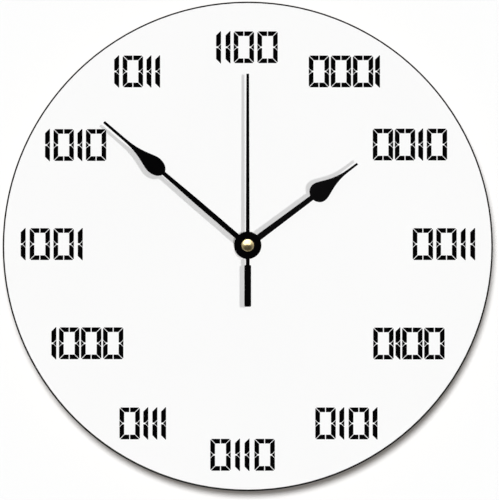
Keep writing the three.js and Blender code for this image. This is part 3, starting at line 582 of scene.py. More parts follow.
def spread_outline(shape, amount):
    """Moves a flat plate's outline outwards by the same amount all round, but not what is near the axis."""
    moves = {}
    for vertex in shape.verts:
        sides = []
        for face in filter(faces_sideways, vertex.link_faces):
            if all(face.normal.dot(other) < SAME_WAY for other in sides):
                sides.append(face.normal.copy())
        if sides and math.hypot(vertex.co.x, vertex.co.z) > HUB_RADIUS:
            second = sides[min(1, len(sides) - 1)]
            moves[vertex] = (sides[0] + second) * (amount / max(1 + sides[0].dot(second), LEAST_CORNER))
    for edge in shape.edges:
        first, second = edge.verts
        if any(map(faces_sideways, edge.link_faces)) and first in moves and second in moves:
            length = second.co - first.co
            if length.dot(length + moves[second] - moves[first]) <= 0:
                meeting = (first.co + moves[first] + second.co + moves[second]) / 2
                moves[first] = meeting - first.co
                moves[second] = meeting - second.co
    for vertex, move in moves.items():
        vertex.co += move
    bmesh.ops.remove_doubles(shape, verts=shape.verts, dist=MERGE_DISTANCE)
    shape.normal_update()


def reach(node, x=0.0, z=0.0):
    """The least and the greatest distance of a node's corners from a line along Y."""
    places = [vertex.co for vertex in frame["nodes"][node].data.vertices]
    distances = [math.hypot(place.x - x, place.z - z) for place in places]
    return min(distances), max(distances)


def depths(node):
    """The depths at which a node begins and ends."""
    low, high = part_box(node)
    return -high.y, -low.y


def centre(node):
    low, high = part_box(node)
    return (low + high) / 2


def facing_viewer_at(middle):
    """The place of a turned piece whose axis goes through the given point, along Y."""
    return Matrix.Translation((middle.x, 0, middle.z)) @ FACING_VIEWER


def add_piece(name, mesh, finishes, node, stands_for=True):
    """Puts a mesh in the scene as a piece that goes with a CAD node, and usually stands for it."""
    piece = new_object(name, mesh)
    for finish in finishes:
        mesh.materials.append(FINISHES[finish])
    mesh.shade_smooth()
    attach(piece, BODY_OF[node])
    if stands_for:
        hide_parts(node)
    return piece


def ease_edges(piece, width):
    ease = piece.modifiers.new("eased edges", "BEVEL")
    ease.width = width
    ease.segments = 2
    ease.limit_method = "ANGLE"
    ease.angle_limit = BEVEL_ANGLE
    ease.harden_normals = True
    weld = piece.modifiers.new("joined corners", "WELD")
    weld.merge_threshold = MERGE_DISTANCE


def turned_piece(name, outline, finishes, node, placed=FACING_VIEWER, sides=ROUND_SIDES, stands_for=True):
    """A piece that turns an outline about an axis. Its round faces look smooth and its flat ones flat."""
    piece = add_piece(name, lathe(outline, placed, sides), finishes, node, stands_for)
    piece.data.set_sharp_from_angle(angle=SMOOTH_ANGLE)
    weighted = piece.modifiers.new("flat faces", "WEIGHTED_NORMAL")
    weighted.keep_sharp = True
    return piece


def ring_outline(inner, outer, depth_from, depth_to, ease):
    corners = [(inner, depth_from), (outer, depth_from), (outer, depth_to), (inner, depth_to)]
    return eased(corners, ease)


# Plain turned rings on the axis of the hands: name, node, finish and width of the ease in mm
TURNED_RINGS = [
    ("tube_ring", "second_hand_tube", "brass", 0.1),
    ("washer_ring", "washer", "brass", 0.12),
    ("gasket_ring", "gasket", "rubber", 0.2),
]


def turned_rings():
    for name, node, finish, ease in TURNED_RINGS:
        turned_piece(name, ring_outline(*reach(node), *depths(node), ease * MM), [finish], node)


# Board: paint on its front and edge, and bare veneer on its back

BOARD_SIDES = 360
BOARD_EASE = 0.25 * MM
FACE_SHARE = 0.8


def board():
    outline = ring_outline(*reach("board"), *depths("board"), BOARD_EASE)
    piece = turned_piece("board_disc", outline, ["edge", "birch"], "board", sides=BOARD_SIDES)
    for face in piece.data.polygons:
        face.material_index = 1 if face.normal.y > FACE_SHARE else 0


# Pieces that keep their CAD shape and get eased edges: finish, width of the ease in mm, and nodes

EASED_NODES = [
    ("brass", 0.22, ["hex_nut"]),
    ("brass", 0.06, ["minute_pipe"]),
    ("zinc", 0.16, ["hanger"]),
    ("case", 0.35, ["case_front"]),
    ("pale", 0.1, ["train_plate", "idler_wheel", "third_wheel", "minute_wheel", "coil_bobbin"]),
    ("amber", 0.06, ["rotor_pinion", "seconds_wheel", "centre_wheel", "hour_wheel", "set_pinion"]),
    ("iron", 0.06, ["stator", "coil_core"]),
    ("laminate", 0.08, ["circuit_board"]),
    ("nickel", 0.08, ["plus_contact", "minus_contact", "crystal_can"]),
]


def eased_nodes():
    for finish, width, nodes in EASED_NODES:
        for node in nodes:
            ease_edges(add_piece(node + "_finished", merged_copy(node), [finish], node), width * MM)


# Hands. The paint makes each outline a little wider than the bare sheet.

PAINT_SPREAD = {"hour_hand": 0.16 * MM, "minute_hand": 0.2 * MM, "second_hand": 0.12 * MM}
DISC_SPREAD = 0.03 * MM
HAND_EASE = 0.1 * MM
DISC_OVERLAP = 0.5 * MM


def spade_hand(node, finish):
    piece = add_piece(node + "_painted", merged_copy(node, PAINT_SPREAD[node]), [finish], node)
    ease_edges(piece, HAND_EASE)
    return piece


def second_hand_blade():
    """The second hand's arm and tail. They reach a little way into its disc, which is a piece of its own."""
    shape = bmesh.new()
    shape.from_mesh(merged_copy("second_hand", PAINT_SPREAD["second_hand"]))
    inside = second_disc_radius() - DISC_OVERLAP
    for height in (inside, -inside):
        parts = shape.verts[:] + shape.edges[:] + shape.faces[:]
        bmesh.ops.bisect_plane(shape, geom=parts, plane_co=(0, 0, height), plane_no=(0, 0, 1))
    middle = [face for face in shape.faces if abs(face.calc_center_median().z) < inside - TINY]
    bmesh.ops.delete(shape, geom=middle, context="FACES")
    bmesh.ops.holes_fill(shape, edges=[edge for edge in shape.edges if edge.is_boundary])
    bmesh.ops.recalc_face_normals(shape, faces=shape.faces)
    piece = add_piece("second_hand_blade", to_mesh(shape), ["hand"], "second_hand")
    ease_edges(piece, HAND_EASE)
    return piece


def second_hand_disc():
    bore = reach("second_hand")[0]
    outline = ring_outline(bore, second_disc_radius(), *depths("second_hand"), HAND_EASE)
    return turned_piece("second_hand_disc", outline, ["hand"], "second_hand", stands_for=False)


def second_disc_radius():
    """Half the width of the second hand's round disc, which is the widest place of the hand."""
    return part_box("second_hand")[1].x + DISC_SPREAD


# Dial layer: white up to just inside the rim. The numerals are printed over its windows. The ink spreads less
# at slanting edges, where two segments nearly meet, and doesn't reach into sharp corners. The small wedges at
# the waist of a digit are printed whole.

RIM_LINE = 0.15 * MM
PRINT_SPREAD = 0.165 * MM
SLANTING = 0.1
SLANTING_SPREAD = 0.08 * MM
WEDGE_SPREAD = 0.18 * MM
WEDGE_REACH = 3 * MM
SHARP = -0.5
SHARP_CUT = 0.5 * MM
PRINT_RISE = 0.02 * MM
PRINT_DEPTH = 0.2 * MM
WINDOW_REACH = 30 * MM


def dial_layer():
    shape = merged("dial_face")
    outer = reach("dial_face")[1]
    bmesh.ops.scale(shape, vec=(1 - RIM_LINE / outer, 1, 1 - RIM_LINE / outer), verts=shape.verts)
    add_piece("dial_layer", to_mesh(shape), ["white"], "dial_face").data.shade_flat()


def numerals():
    source = merged("dial_face")
    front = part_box("dial_face")[0].y
    windows = [outline for outline in outlines(source, front) if fits(outline, WINDOW_REACH)]
    source.free()
    shape = bmesh.new()
    for window in windows:
        add_slab(shape, inked(window), -front - PRINT_DEPTH, -front + PRINT_RISE)
    bmesh.ops.recalc_face_normals(shape, faces=shape.faces)
    add_piece("numerals_print", to_mesh(shape), ["ink"], "board", stands_for=False).data.shade_flat()


def inked(window):
    """A window's outline, moved out to where the ink ends."""
    ends = window[1:] + window[:1]
    area = sum(start.x * end.y - end.x * start.y for start, end in zip(window, ends))
    wedge = fits(window, WEDGE_REACH)
    edges = []
    for start, end in zip(window, ends):
        along = (end - start).normalized()
        outward = Vector((along.y, -along.x)) * math.copysign(1, area)
        slanting = min(abs(along.x), abs(along.y)) > SLANTING
        spread = WEDGE_SPREAD if wedge else SLANTING_SPREAD if slanting else PRINT_SPREAD
        edges.append((start + outward * spread, along))
    points = []
    for (first, before), (second, after) in zip(edges[-1:] + edges[:-1], edges):
        turn = before.cross(after)
        share = (second - first).cross(after) / turn if abs(turn) > TINY else 0
        corner = first + before * share if share else second
        if before.dot(after) < SHARP and not wedge:
            points += [corner - before * SHARP_CUT, corner + after * SHARP_CUT]
        else:
            points.append(corner)
    return points


def outlines(shape, place):
    """The closed outlines of a flat plate at one of its two faces, each as a list of (x, z) points."""
    neighbours = {}
    for edge in shape.edges:
        at_face = all(abs(vertex.co.y - place) < MERGE_DISTANCE for vertex in edge.verts)
        if at_face and any(map(faces_sideways, edge.link_faces)):
            for vertex in edge.verts:
                neighbours.setdefault(vertex, []).append(edge.other_vert(vertex))
    found = []
    while neighbours:
        vertex = next(iter(neighbours))
        outline = []
        while vertex:
            outline.append(Vector((vertex.co.x, vertex.co.z)))
            nearby = neighbours.pop(vertex)
            vertex = next((other for other in nearby if other in neighbours), None)
        found.append(outline)
    return found


def fits(outline, size):
    """Whether an outline is smaller than the given size, and isn't the bore round the axis."""
    low = [min(point[i] for point in outline) for i in range(2)]
    high = [max(point[i] for point in outline) for i in range(2)]
    return max(high[0] - low[0], high[1] - low[1]) < size and outline[0].length > 2 * HUB_RADIUS


# Cap, tube and the fixing through the board

CAP_SHOULDER = 3.45 * MM
CAP_SHOULDER_SHARE = 0.4
CAP_EASE = 0.4 * MM
CAP_EASE_STEPS = 5
BUSH_FLANGE_DEPTH = 1.2 * MM
BUSH_EASE = 0.12 * MM
THREAD_RADIUS = 3.9 * MM
THREAD_CORE = 3.45 * MM
THREAD_PITCH = 0.75 * MM


def shaft_cap():
    """The cap's front is a low cone with a round shoulder."""
    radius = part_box("shaft_cap")[1].x
    start, end = depths("shaft_cap")
    shoulder = start + (end - start) * CAP_SHOULDER_SHARE
    side = [(radius, start), (radius, shoulder - CAP_EASE)]
    outline = [(0, start), *side, (CAP_SHOULDER, shoulder), (0, end)]
    return turned_piece("shaft_cap_dome", eased(outline, CAP_EASE, CAP_EASE_STEPS), ["cap"], "shaft_cap")


def threaded_bush():
    """The bush's flange and core. Its thread is a ridge that winds round the core."""
    bore, flange = reach("threaded_bush")
    start, end = depths("threaded_bush")
    shoulder = start + BUSH_FLANGE_DEPTH
    outline = [
        (bore, start),
        (flange, start),
        (flange, shoulder),
        (THREAD_RADIUS, shoulder),
        (THREAD_RADIUS, depths("washer")[0]),
        (THREAD_CORE, depths("washer")[0]),
        (THREAD_CORE, end),
        (bore, end),
    ]
    turned_piece("threaded_bush_core", eased(outline, BUSH_EASE), ["brass"], "threaded_bush")


# Geometry trees, for what repeats or follows a path

class Growth(Nodes):
    """A geometry tree with named inputs for its sizes."""

    def __init__(self, name, sizes):
        super().__init__(bpy.data.node_groups.new(name, "GeometryNodeTree"))
        self.tree.interface.new_socket("Geometry", in_out="OUTPUT", socket_type="NodeSocketGeometry")
        for size, kind in sizes.items():
            self.tree.interface.new_socket(size, in_out="INPUT", socket_type="NodeSocket" + kind)
        self.given = self.tree.nodes.new("NodeGroupInput")

    def size(self, name):
        return Wire(self, self.given.outputs[name])

    def together(self, parts):
        """Several geometries as one. The join's only input takes all their links."""
        joined = self.node("GeometryNodeJoinGeometry")
        for part in parts:
            self.tree.links.new(part.socket, joined.socket.node.inputs[0])
        return joined

    def close(self, geometry):
        """Puts the result in its place, makes it real and gives it its finish."""
        sockets = {"Geometry": geometry, "Translation": self.size("Place"), "Rotation": self.size("Turn")}
        moved = self.node("GeometryNodeTransform", {}, sockets)
        real = self.node("GeometryNodeRealizeInstances", {}, {"Geometry": moved})
        sockets = {"Geometry": real, "Material": self.size("Finish")}
        finished = self.node("GeometryNodeSetMaterial", {}, sockets)
        self.node("NodeGroupOutput", {}, {"Geometry": finished})

    def grow(self, **values):
        """The tree's result for the given sizes, as a plain mesh."""
        host = new_object("host", bpy.data.meshes.new("host"))
        modifier = host.modifiers.new("growth", "NODES")
        modifier.node_group = self.tree
        for item in self.tree.interface.items_tree:
            if item.in_out == "INPUT":
                modifier[item.identifier] = values[item.name.replace(" ", "_").lower()]
        evaluated = host.evaluated_get(bpy.context.evaluated_depsgraph_get())
        mesh = bpy.data.meshes.new_from_object(evaluated)
        bpy.data.objects.remove(host)
        return mesh


PLACED = {"Place": "Vector", "Turn": "Vector", "Finish": "Material"}


def spiral_tree():
    """A wire wound round an axis. Its path is held within a box, which shapes a coil on a flat core."""
    path_sizes = {"Turns": "Float", "Steps": "Int", "Radius": "Float", "Length": "Float"}
    wire_sizes = {"Half box": "Vector", "Wire radius": "Float", "Wire sides": "Int"}
    growth = Growth("wound_wire", {**path_sizes, **wire_sizes, **PLACED})
    sockets = {
        "Resolution": growth.size("Steps"),
        "Rotations": growth.size("Turns"),
        "Start Radius": growth.size("Radius"),
        "End Radius": growth.size("Radius"),
        "Height": growth.size("Length"),
    }
    path = growth.node("GeometryNodeCurveSpiral", {}, sockets)
    place = growth.node("GeometryNodeInputPosition")
    high = growth.size("Half box")
    low = growth.node("ShaderNodeVectorMath", {"operation": "SCALE"}, {0: high, "Scale": -1.0})
    held = growth.node("ShaderNodeVectorMath", {"operation": "MINIMUM"}, {0: place, 1: high})
    held = growth.node("ShaderNodeVectorMath", {"operation": "MAXIMUM"}, {0: held, 1: low})
    path = growth.node("GeometryNodeSetPosition", {}, {"Geometry": path, "Position": held})
    sockets = {"Resolution": growth.size("Wire sides"), "Radius": growth.size("Wire radius")}
    section = growth.node("GeometryNodeCurvePrimitiveCircle", {}, sockets)
    sockets = {"Curve": path, "Profile Curve": section, "Fill Caps": True}
    growth.close(growth.node("GeometryNodeCurveToMesh", {}, sockets))
    return growth


def ribs_tree():
    """Round ribs that stand in a circle."""
    sizes = {"Count": "Int", "Radius": "Float", "Rib radius": "Float", "Rib sides": "Int", "Height": "Float"}
    growth = Growth("ribs", {**sizes, **PLACED})
    sockets = {"Vertices": growth.size("Count"), "Radius": growth.size("Radius")}
    circle = growth.node("GeometryNodeMeshCircle", {}, sockets)
    rib_radius = growth.size("Rib radius")
    sockets = {"Vertices": growth.size("Rib sides"), "Radius": rib_radius, "Depth": growth.size("Height")}
    rib = growth.node("GeometryNodeMeshCylinder", {}, sockets)
    growth.close(growth.node("GeometryNodeInstanceOnPoints", {}, {"Points": circle, "Instance": rib}))
    return growth


def clips_tree():
    """Plates with a window each, standing at the corners of a rectangle."""
    sizes = {"Across": "Float", "Along": "Float", "Plate": "Vector", "Window": "Vector"}
    growth = Growth("clips", {**sizes, **PLACED})
    plate = growth.split(growth.size("Plate"))
    window = growth.split(growth.size("Window"))
    curves = []
    for width, height, _ in (plate, window):
        sockets = {"Width": width, "Height": height}
        curves.append(growth.node("GeometryNodeCurvePrimitiveQuadrilateral", {}, sockets))
    face = growth.node("GeometryNodeFillCurve", {}, {"Curve": growth.together(curves)})
    sockets = {"Mesh": face, "Offset Scale": plate[2], "Individual": False}
    thick = growth.node("GeometryNodeExtrudeMesh", {}, sockets)
    underside = growth.node("GeometryNodeFlipFaces", {}, {"Mesh": face})
    sockets = {"Geometry": growth.together([underside, thick]), "Distance": MERGE_DISTANCE}
    welded = growth.node("GeometryNodeMergeByDistance", {}, sockets)
    sides = {"Size X": growth.size("Across"), "Size Y": growth.size("Along")}
    corners = growth.node("GeometryNodeMeshGrid", {}, {**sides, "Vertices X": 2, "Vertices Y": 2})
    growth.close(growth.node("GeometryNodeInstanceOnPoints", {}, {"Points": corners, "Instance": welded}))
    return growth


WIRE_RADIUS = 0.14 * MM
WIRE_STEPS = 28
WIRE_SIDES = 6
THREAD_RIDGE_SHARE = 0.72
THREAD_STEPS = 48
THREAD_SIDES = 4
FREE = 1.0


def coil_turns(spiral):
    """The coil's outer layer of wire, wound between the bobbin's flanges."""
    low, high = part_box("coil_winding")
    length = high.x - low.x - 2 * WIRE_RADIUS
    half_up = (high.z - low.z) / 2 - WIRE_RADIUS
    half_deep = (high.y - low.y) / 2 - WIRE_RADIUS
    middle = centre("coil_winding")
    mesh = spiral.grow(
        turns=length / (2 * WIRE_RADIUS),
        steps=WIRE_STEPS,
        radius=(half_up + math.hypot(half_up, half_deep)) / 2,
        length=length,
        half_box=(half_up, half_deep, FREE),
        wire_radius=WIRE_RADIUS,
        wire_sides=WIRE_SIDES,
        place=(low.x + WIRE_RADIUS, middle.y, middle.z),
        turn=(0, QUARTER_TURN, 0),
        finish=FINISHES["copper"],
    )
    add_piece("coil_turns", mesh, [], "coil_winding")


def bush_thread(spiral):
    start = depths("washer")[0]
    end = depths("threaded_bush")[1]
    ridge = (THREAD_RADIUS - THREAD_CORE) * THREAD_RIDGE_SHARE
    length = end - start - 2 * ridge
    mesh = spiral.grow(
        turns=length / THREAD_PITCH,
        steps=THREAD_STEPS,
        radius=THREAD_RADIUS - ridge,
        length=length,
        half_box=(FREE, FREE, FREE),
        wire_radius=ridge,
        wire_sides=THREAD_SIDES,
        place=(0, -start - ridge, 0),
        turn=(QUARTER_TURN, 0, 0),
        finish=FINISHES["brass"],
    )
    add_piece("bush_thread", mesh, [], "threaded_bush", stands_for=False)


KNOB_RIBS = 36
KNOB_RIB_RADIUS = 0.26 * MM
KNOB_RIB_SIDES = 10
KNOB_RIB_SHARE = 0.8
KNOB_RIB_ANGLE = math.radians(50)
KNOB_EASE = 0.2 * MM
KNOB_DISH_RADIUS = 2.7 * MM
KNOB_DISH_DEPTH = 0.55 * MM
KNOB_HEAD = 2.2 * MM
KNOB_SHAFT = 1.0 * MM


def set_knob(ribs):
    """The setting knob: a dished head with ribs round it, and its shaft."""
    middle = centre("set_knob")
    start, end = depths("set_knob")
    outer = reach("set_knob", middle.x, middle.z)[1]
    body = outer - KNOB_RIB_RADIUS
    outline = [
        (0, start + KNOB_DISH_DEPTH),
        (KNOB_DISH_RADIUS, start + KNOB_DISH_DEPTH),
        (KNOB_DISH_RADIUS + KNOB_DISH_DEPTH, start),
        (body, start),
        (body, start + KNOB_HEAD),
        (KNOB_SHAFT, start + KNOB_HEAD),
        (KNOB_SHAFT, end),
        (0, end),
    ]
    placed = facing_viewer_at(middle)
    turned_piece("set_knob_turned", eased(outline, KNOB_EASE), ["pale"], "set_knob", placed)
    mesh = ribs.grow(
        count=KNOB_RIBS,
        radius=body,
        rib_radius=KNOB_RIB_RADIUS,
        rib_sides=KNOB_RIB_SIDES,
        height=KNOB_HEAD * KNOB_RIB_SHARE,
        place=(middle.x, -(start + KNOB_HEAD / 2), middle.z),
        turn=(QUARTER_TURN, 0, 0),
        finish=FINISHES["pale"],
    )
    ring = add_piece("set_knob_ribs", mesh, [], "set_knob", stands_for=False)
    ring.data.set_sharp_from_angle(angle=KNOB_RIB_ANGLE)


# Case: engraved marks on its back, and clips that hold its cover

ENGRAVING = 0.25 * MM
SIGN_LENGTH = 4 * MM
SIGN_WIDTH = 0.9 * MM
SIGN_ACROSS = 22.5 * MM
SIGN_UP = -6.4 * MM
ARROW_INNER = 5.8 * MM
ARROW_OUTER = 6.5 * MM
ARROW_HEAD = 0.9 * MM
ARROW_FROM = math.radians(125)
ARROW_TO = math.radians(235)
ARROW_STEPS = 16
ARROW_TIP_SHARE = 1.8
CASE_EASE = 0.12 * MM
PIN_MARK_RADIUS = 1.6 * MM
PIN_MARK_SIDES = 32

# The middles of the round mould marks, in mm
PIN_MARKS = ((-22.0, 22.5), (22.3, 23.3), (-3.0, 23.0), (-14.0, -6.2), (14.0, -6.2))


def add_slab(shape, outline, depth_from, depth_to):
    """Adds a flat prism with an outline of (x, z) points."""
    back = [shape.verts.new((x, -depth_from, z)) for x, z in outline]
    front = [shape.verts.new((x, -depth_to, z)) for x, z in outline]
    shape.faces.new(back)
    shape.faces.new(front[::-1])
    for i in range(len(outline)):
        shape.faces.new((back[i - 1], back[i], front[i], front[i - 1]))


def bar(x, z, width, height):
    left, right = x - width / 2, x + width / 2
    bottom, top = z - height / 2, z + height / 2
    return [(left, bottom), (right, bottom), (right, top), (left, top)]


def circle(x, z, radius, sides):
    angles = [2 * math.pi * i / sides for i in range(sides)]
    return [(x + radius * math.cos(angle), z + radius * math.sin(angle)) for angle in angles]


def plus_outline(x, z):
    long, short = SIGN_LENGTH / 2, SIGN_WIDTH / 2
    quarter = [(short, short), (short, long), (-short, long)]
    turns = [(1, 0), (0, 1), (-1, 0), (0, -1)]
    return [(x + px * c - pz * s, z + px * s + pz * c) for c, s in turns for px, pz in quarter]


def arrow_outline(middle):
    """A curved band with a head at each end, round the setting knob."""
    def at(radius, angle):
        return (middle.x + radius * math.cos(angle), middle.z + radius * math.sin(angle))

    angles = [ARROW_FROM + (ARROW_TO - ARROW_FROM) * i / ARROW_STEPS for i in range(ARROW_STEPS + 1)]
    centre_line = (ARROW_INNER + ARROW_OUTER) / 2
    inside = ARROW_INNER - ARROW_HEAD / 2
    outside = ARROW_OUTER + ARROW_HEAD / 2
    tip = ARROW_TIP_SHARE * ARROW_HEAD / centre_line
    first_head = [at(inside, ARROW_FROM), at(centre_line, ARROW_FROM - tip), at(outside, ARROW_FROM)]
    last_head = [at(outside, ARROW_TO), at(centre_line, ARROW_TO + tip), at(inside, ARROW_TO)]
    outer = [at(ARROW_OUTER, angle) for angle in angles]
    inner = [at(ARROW_INNER, angle) for angle in reversed(angles)]
    return [*first_head, *outer, *last_head, *inner]


def engraving():
    """What is cut into the case's back, as one mesh."""
    shape = bmesh.new()
    plus = plus_outline(SIGN_ACROSS, SIGN_UP)
    minus = bar(-SIGN_ACROSS, SIGN_UP, SIGN_LENGTH, SIGN_WIDTH)
    pins = [circle(x * MM, z * MM, PIN_MARK_RADIUS, PIN_MARK_SIDES) for x, z in PIN_MARKS]
    for outline in (plus, minus, arrow_outline(centre("set_knob")), *pins):
        add_slab(shape, outline, -ENGRAVING, ENGRAVING)
    bmesh.ops.recalc_face_normals(shape, faces=shape.faces)
    return to_mesh(shape)


def case_back():
    piece = add_piece("case_back_finished", merged_copy("case_back"), ["case"], "case_back")
    cutter = new_object("engraving", engraving())
    carve = piece.modifiers.new("engraving", "BOOLEAN")
    carve.operation = "DIFFERENCE"
    carve.solver = "EXACT"
    carve.object = cutter
    evaluated = piece.evaluated_get(bpy.context.evaluated_depsgraph_get())
    carved = bpy.data.meshes.new_from_object(evaluated)
    piece.modifiers.clear()
    piece.data = carved
    bpy.data.objects.remove(cutter)
    ease_edges(piece, CASE_EASE)


CLIP_SPACING = 25 * MM
CLIP_PLATE = (6.5 * MM, 7.5 * MM, 0.9 * MM)
CLIP_WINDOW = (3.2 * MM, 2.6 * MM, 0)
CLIP_HANG = 4.2 * MM


def cover_clips(clips):
    """The four hooked tongues by which the cover holds the case."""
    low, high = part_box("case_front")
    middle = centre("case_front")
    mesh = clips.grow(
        across=high.x - low.x + CLIP_PLATE[2],
        along=CLIP_SPACING,
        plate=CLIP_PLATE,
        window=CLIP_WINDOW,
        place=(0, high.y + CLIP_HANG - CLIP_PLATE[1] / 2, middle.z),
        turn=(QUARTER_TURN, 0, 0),
        finish=FINISHES["case"],
    )
    add_piece("cover_clips", mesh, [], "case_front", stands_for=False)


# Battery, chip and magnet. The points of the battery's ends are shares of its radius and of the crimp, or of
# the nub's ease.

NUB = 1.1 * MM
NUB_EASE = 0.1 * MM
CRIMP = 0.5 * MM
BATTERY_EASE = 0.3 * MM
SLEEVE_SHARE = 0.95
MINUS_END_SHARES = ((0, 1), (0.6, 1), (0.64, 0), (0.88, 0), (0.93, 1))
PLUS_END_SHARES = ((0.9, 0.4), (0.86, 0), (0.38, 0))
NUB_SHARES = ((0.36, 1), (0.3, 0), (0, 0))
CHIP_SIDES = 48
CHIP_STEPS = 10
CHIP_SLUMP = 0.7
MAGNET_SIDES = 64
MAGNET_EASE = 0.15 * MM


def battery():
    low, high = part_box("battery")
    middle = centre("battery")
    radius = (high.z - low.z) / 2
    length = high.x - low.x
    shoulder = length - NUB
    minus_end = [(radius * across, CRIMP * down) for across, down in MINUS_END_SHARES]
    sleeve = [(radius, CRIMP), (radius, shoulder - CRIMP)]
    plus_end = [(radius * across, shoulder - CRIMP * down) for across, down in PLUS_END_SHARES]
    nub = [(radius * across, length - NUB_EASE * down) for across, down in NUB_SHARES]
    outline = eased([*minus_end, *sleeve, *plus_end, *nub], BATTERY_EASE)
    placed = Matrix.Translation((low.x, middle.y, middle.z)) @ ALONG_X
    piece = turned_piece("battery_cell", outline, ["nickel", "sleeve"], "battery", placed)
    for face in piece.data.polygons:
        from_axis = math.hypot(face.center.y - middle.y, face.center.z - middle.z)
        face.material_index = 1 if from_axis > radius * SLEEVE_SHARE else 0


def chip():
    """The chip's drop of resin, which slumps to a dome with a soft edge."""
    start, end = depths("chip")
    middle = centre("chip")
    radius = reach("chip", middle.x, middle.z)[1]
    rise = end - start
    angles = [QUARTER_TURN * i / CHIP_STEPS for i in range(CHIP_STEPS + 1)]
    dome = [(radius * math.sin(angle) ** CHIP_SLUMP, end - rise * math.cos(angle)) for angle in angles]
    turned_piece("chip_drop", [*dome, (0, end)], ["epoxy"], "chip", facing_viewer_at(middle), CHIP_SIDES)


def rotor_magnet():
    middle = centre("rotor_magnet")
    inner, outer = reach("rotor_magnet", middle.x, middle.z)
    outline = ring_outline(inner, outer, *depths("rotor_magnet"), MAGNET_EASE)
    placed = facing_viewer_at(middle)
    turned_piece("rotor_magnet_ring", outline, ["magnet"], "rotor_magnet", placed, MAGNET_SIDES)


# All pieces

board()
dial_layer()
numerals()
painted_hands = {
    "hour_hand": spade_hand("hour_hand", "hour"),
    "minute_hand": spade_hand("minute_hand", "hand"),
    "second_hand": second_hand_blade(),
}
second_disc = second_hand_disc()
eased_nodes()
cap = shaft_cap()
threaded_bush()
turned_rings()
rotor_magnet()
chip()
battery()
case_back()
wound_wire = spiral_tree()
coil_turns(wound_wire)
bush_thread(wound_wire)
set_knob(ribs_tree())
cover_clips(clips_tree())


# Wall and light. The wall shows to the camera and in reflections only, and has a lamp of its own for the
# board's soft shadow. All other light passes through it, so it doesn't darken the clock's back.

WALL_SIZE = 6.0
WALL_GAP = 0.2 * MM
WALL_COLOUR = 0.2
WALL_GLOW = 0.148
WALL_LIT = 0.83
WALL_GRAIN = 3 * MM
WALL_RELIEF = 0.02 * MM
WALL_SHADOW_SHIFT = (1.17 * MM, -2.5 * MM)
WALL_LAMP_WIDTH = math.radians(11.4)
ROOM_DARK = 0.05
ROOM_BRIGHT = 0.72
ROOM_FLOOR = 0.3
ROOM_SIDES = 0.3
ROOM_FRONT_SHARE = 0.1
CEILING_EDGE = (0.02, 0.34)
FLOOR_EDGE = (-0.95, -0.55)
SIDES_EDGE = (0.35, 0.85)
FRONT_EDGE = (-0.25, 0.25)
HAND_LAMP_LEVEL = 0.3385
HAND_LAMP_WIDTH = math.radians(1.8)
HAND_SHADOW_SHIFTS = {
    "second_hand": (-2.94 * MM, 0),
    "minute_hand": (-2.2 * MM, -1.62 * MM),
    "hour_hand": (-2.06 * MM, 1.74 * MM),
}
BACK_LEVEL = 0.42
BACK_FROM = Vector((-0.5, 1, 0.7))
BACK_WIDTH = math.radians(12)
SOFTBOX_SIZE = 1.5
SOFTBOX_PLACE = Vector((-0.12, -1.1, 0.82))
SOFTBOX_POWER = 15.0


def lamp(name, comes_from, strength, width, receivers):
    light = bpy.data.lights.new(name, "SUN")
    light.energy = strength
    light.angle = width
    holder = new_object(name, light)
    holder.rotation_euler = comes_from.to_track_quat("Z", "Y").to_euler()
    holder.light_linking.receiver_collection = receivers
    return holder


def sun_strength(level, comes_from):
    """The strength at which a sun lights a surface that faces the viewer, or the wall, to the given level."""
    return level * math.pi / abs(comes_from.normalized().y)


def linked(name, pieces, state):
    """A collection for light linking."""
    collection = bpy.data.collections.new(name)
    for piece in pieces:
        collection.objects.link(piece)
    for member in collection.collection_objects:
        member.light_linking.link_state = state
    return collection


def wall_paint():
    """Pale paint that only the camera and reflections see, and only from the front."""
    finish = Finish("wall_paint")
    plaster = finish.noise(WALL_GRAIN, detail=3)
    bump = finish.node("ShaderNodeBump", {}, {"Height": plaster, "Distance": WALL_RELIEF})
    colour = (WALL_COLOUR, WALL_COLOUR, WALL_COLOUR, 1)
    paint = finish.node("ShaderNodeBsdfDiffuse", {}, {"Color": colour, "Normal": bump})
    glow = finish.node("ShaderNodeEmission", {}, {"Strength": WALL_GLOW})
    shown = finish.node("ShaderNodeAddShader", {}, {0: paint, 1: glow})
    glossy = finish.node("ShaderNodeLightPath", output="Is Glossy Ray")
    through = finish.node("ShaderNodeLightPath", output="Is Transmission Ray")
    seen = finish.node("ShaderNodeLightPath", output="Is Camera Ray").larger(glossy).larger(through)
    behind = finish.node("ShaderNodeNewGeometry", output="Backfacing")
    clear = finish.node("ShaderNodeBsdfTransparent")
    mixed = finish.node("ShaderNodeMixShader", {}, {0: seen * (1 - behind), 1: clear, 2: shown})
    finish.node("ShaderNodeOutputMaterial", {}, {"Surface": mixed})
    return finish.material


def wall():
    shape = bmesh.new()
    corners = [shape.verts.new((x, WALL_GAP, z)) for x, z in bar(0, 0, WALL_SIZE, WALL_SIZE)]
    shape.faces.new(corners)
    shape.normal_update()
    mesh = to_mesh(shape)
    mesh.materials.append(wall_paint())
    piece = new_object("wall", mesh)
    return piece


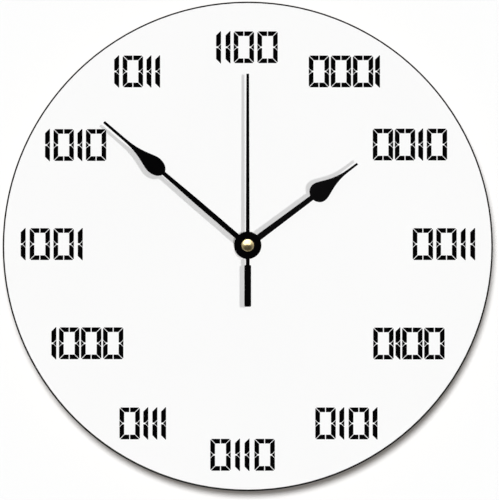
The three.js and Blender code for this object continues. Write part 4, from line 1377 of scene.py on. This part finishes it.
def room():
    """White to the camera. Otherwise bright above, dark at the height of the eye and a little lighter below.

    What comes from the front lights matt surfaces only a little, because the hands' lamps light the dial.
    """
    world = bpy.data.worlds.new("room")
    bpy.context.scene.world = world
    world.use_nodes = True
    nodes = Nodes(world.node_tree)
    direction = nodes.node("ShaderNodeTexCoord", output="Generated")
    across, away, up = nodes.split(direction)
    glossy = nodes.node("ShaderNodeLightPath", output="Is Glossy Ray")
    camera = nodes.node("ShaderNodeLightPath", output="Is Camera Ray")
    ceiling = nodes.step(up, *CEILING_EDGE)
    floor = 1 - nodes.step(up, *FLOOR_EDGE)
    sides = nodes.step(abs(across), *SIDES_EDGE) * (1 - ceiling)
    level = ROOM_DARK + (ROOM_BRIGHT - ROOM_DARK) * ceiling + ROOM_FLOOR * floor + ROOM_SIDES * sides
    front = (1 - nodes.step(away, *FRONT_EDGE)) * (1 - glossy)
    strength = camera.larger(level * (1 - front * (1 - ROOM_FRONT_SHARE)))
    background = nodes.node("ShaderNodeBackground", {}, {"Color": (1, 1, 1, 1), "Strength": strength})
    nodes.node("ShaderNodeOutputWorld", {}, {"Surface": background})


def softbox():
    light = bpy.data.lights.new("softbox", "AREA")
    light.shape = "SQUARE"
    light.size = SOFTBOX_SIZE
    light.energy = SOFTBOX_POWER
    holder = new_object("softbox", light)
    holder.location = SOFTBOX_PLACE
    holder.rotation_euler = SOFTBOX_PLACE.to_track_quat("Z", "Y").to_euler()
    return holder


def hand_lamps(painted, disc_piece, receivers):
    """One lamp for each hand's shadow on the dial. The other hands and the disc let its light pass."""
    dial_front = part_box("dial_face")[0].y
    for node, shift in HAND_SHADOW_SHIFTS.items():
        comes_from = Vector((-shift[0], centre(node).y - dial_front, -shift[1]))
        strength = sun_strength(HAND_LAMP_LEVEL, comes_from)
        sun = lamp(node + "_lamp", comes_from, strength, HAND_LAMP_WIDTH, receivers)
        sun.visible_glossy = False
        others = [piece for other, piece in painted.items() if other != node]
        passing = linked("lets_light_of_" + node + "_lamp_pass", [*others, disc_piece], "EXCLUDE")
        sun.light_linking.blocker_collection = passing


def lights(wall_piece, painted, disc_piece, cap_piece):
    only_wall = linked("lit_by_wall_lamp", [wall_piece], "INCLUDE")
    all_but_wall = linked("lit_by_room_lamps", [wall_piece], "EXCLUDE")
    shift = WALL_SHADOW_SHIFT
    wall_from = Vector((-shift[0], -depths("board")[1], -shift[1]))
    lamp("wall_lamp", wall_from, sun_strength(WALL_LIT / WALL_COLOUR, wall_from), WALL_LAMP_WIDTH, only_wall)
    hand_lamps(painted, disc_piece, all_but_wall)
    lamp("back_lamp", BACK_FROM, sun_strength(BACK_LEVEL, BACK_FROM), BACK_WIDTH, all_but_wall)
    softbox().light_linking.receiver_collection = linked("lit_by_softbox", [cap_piece], "INCLUDE")


room()
lights(wall(), painted_hands, second_disc, cap)
bpy.context.scene.view_settings.view_transform = "Standard"
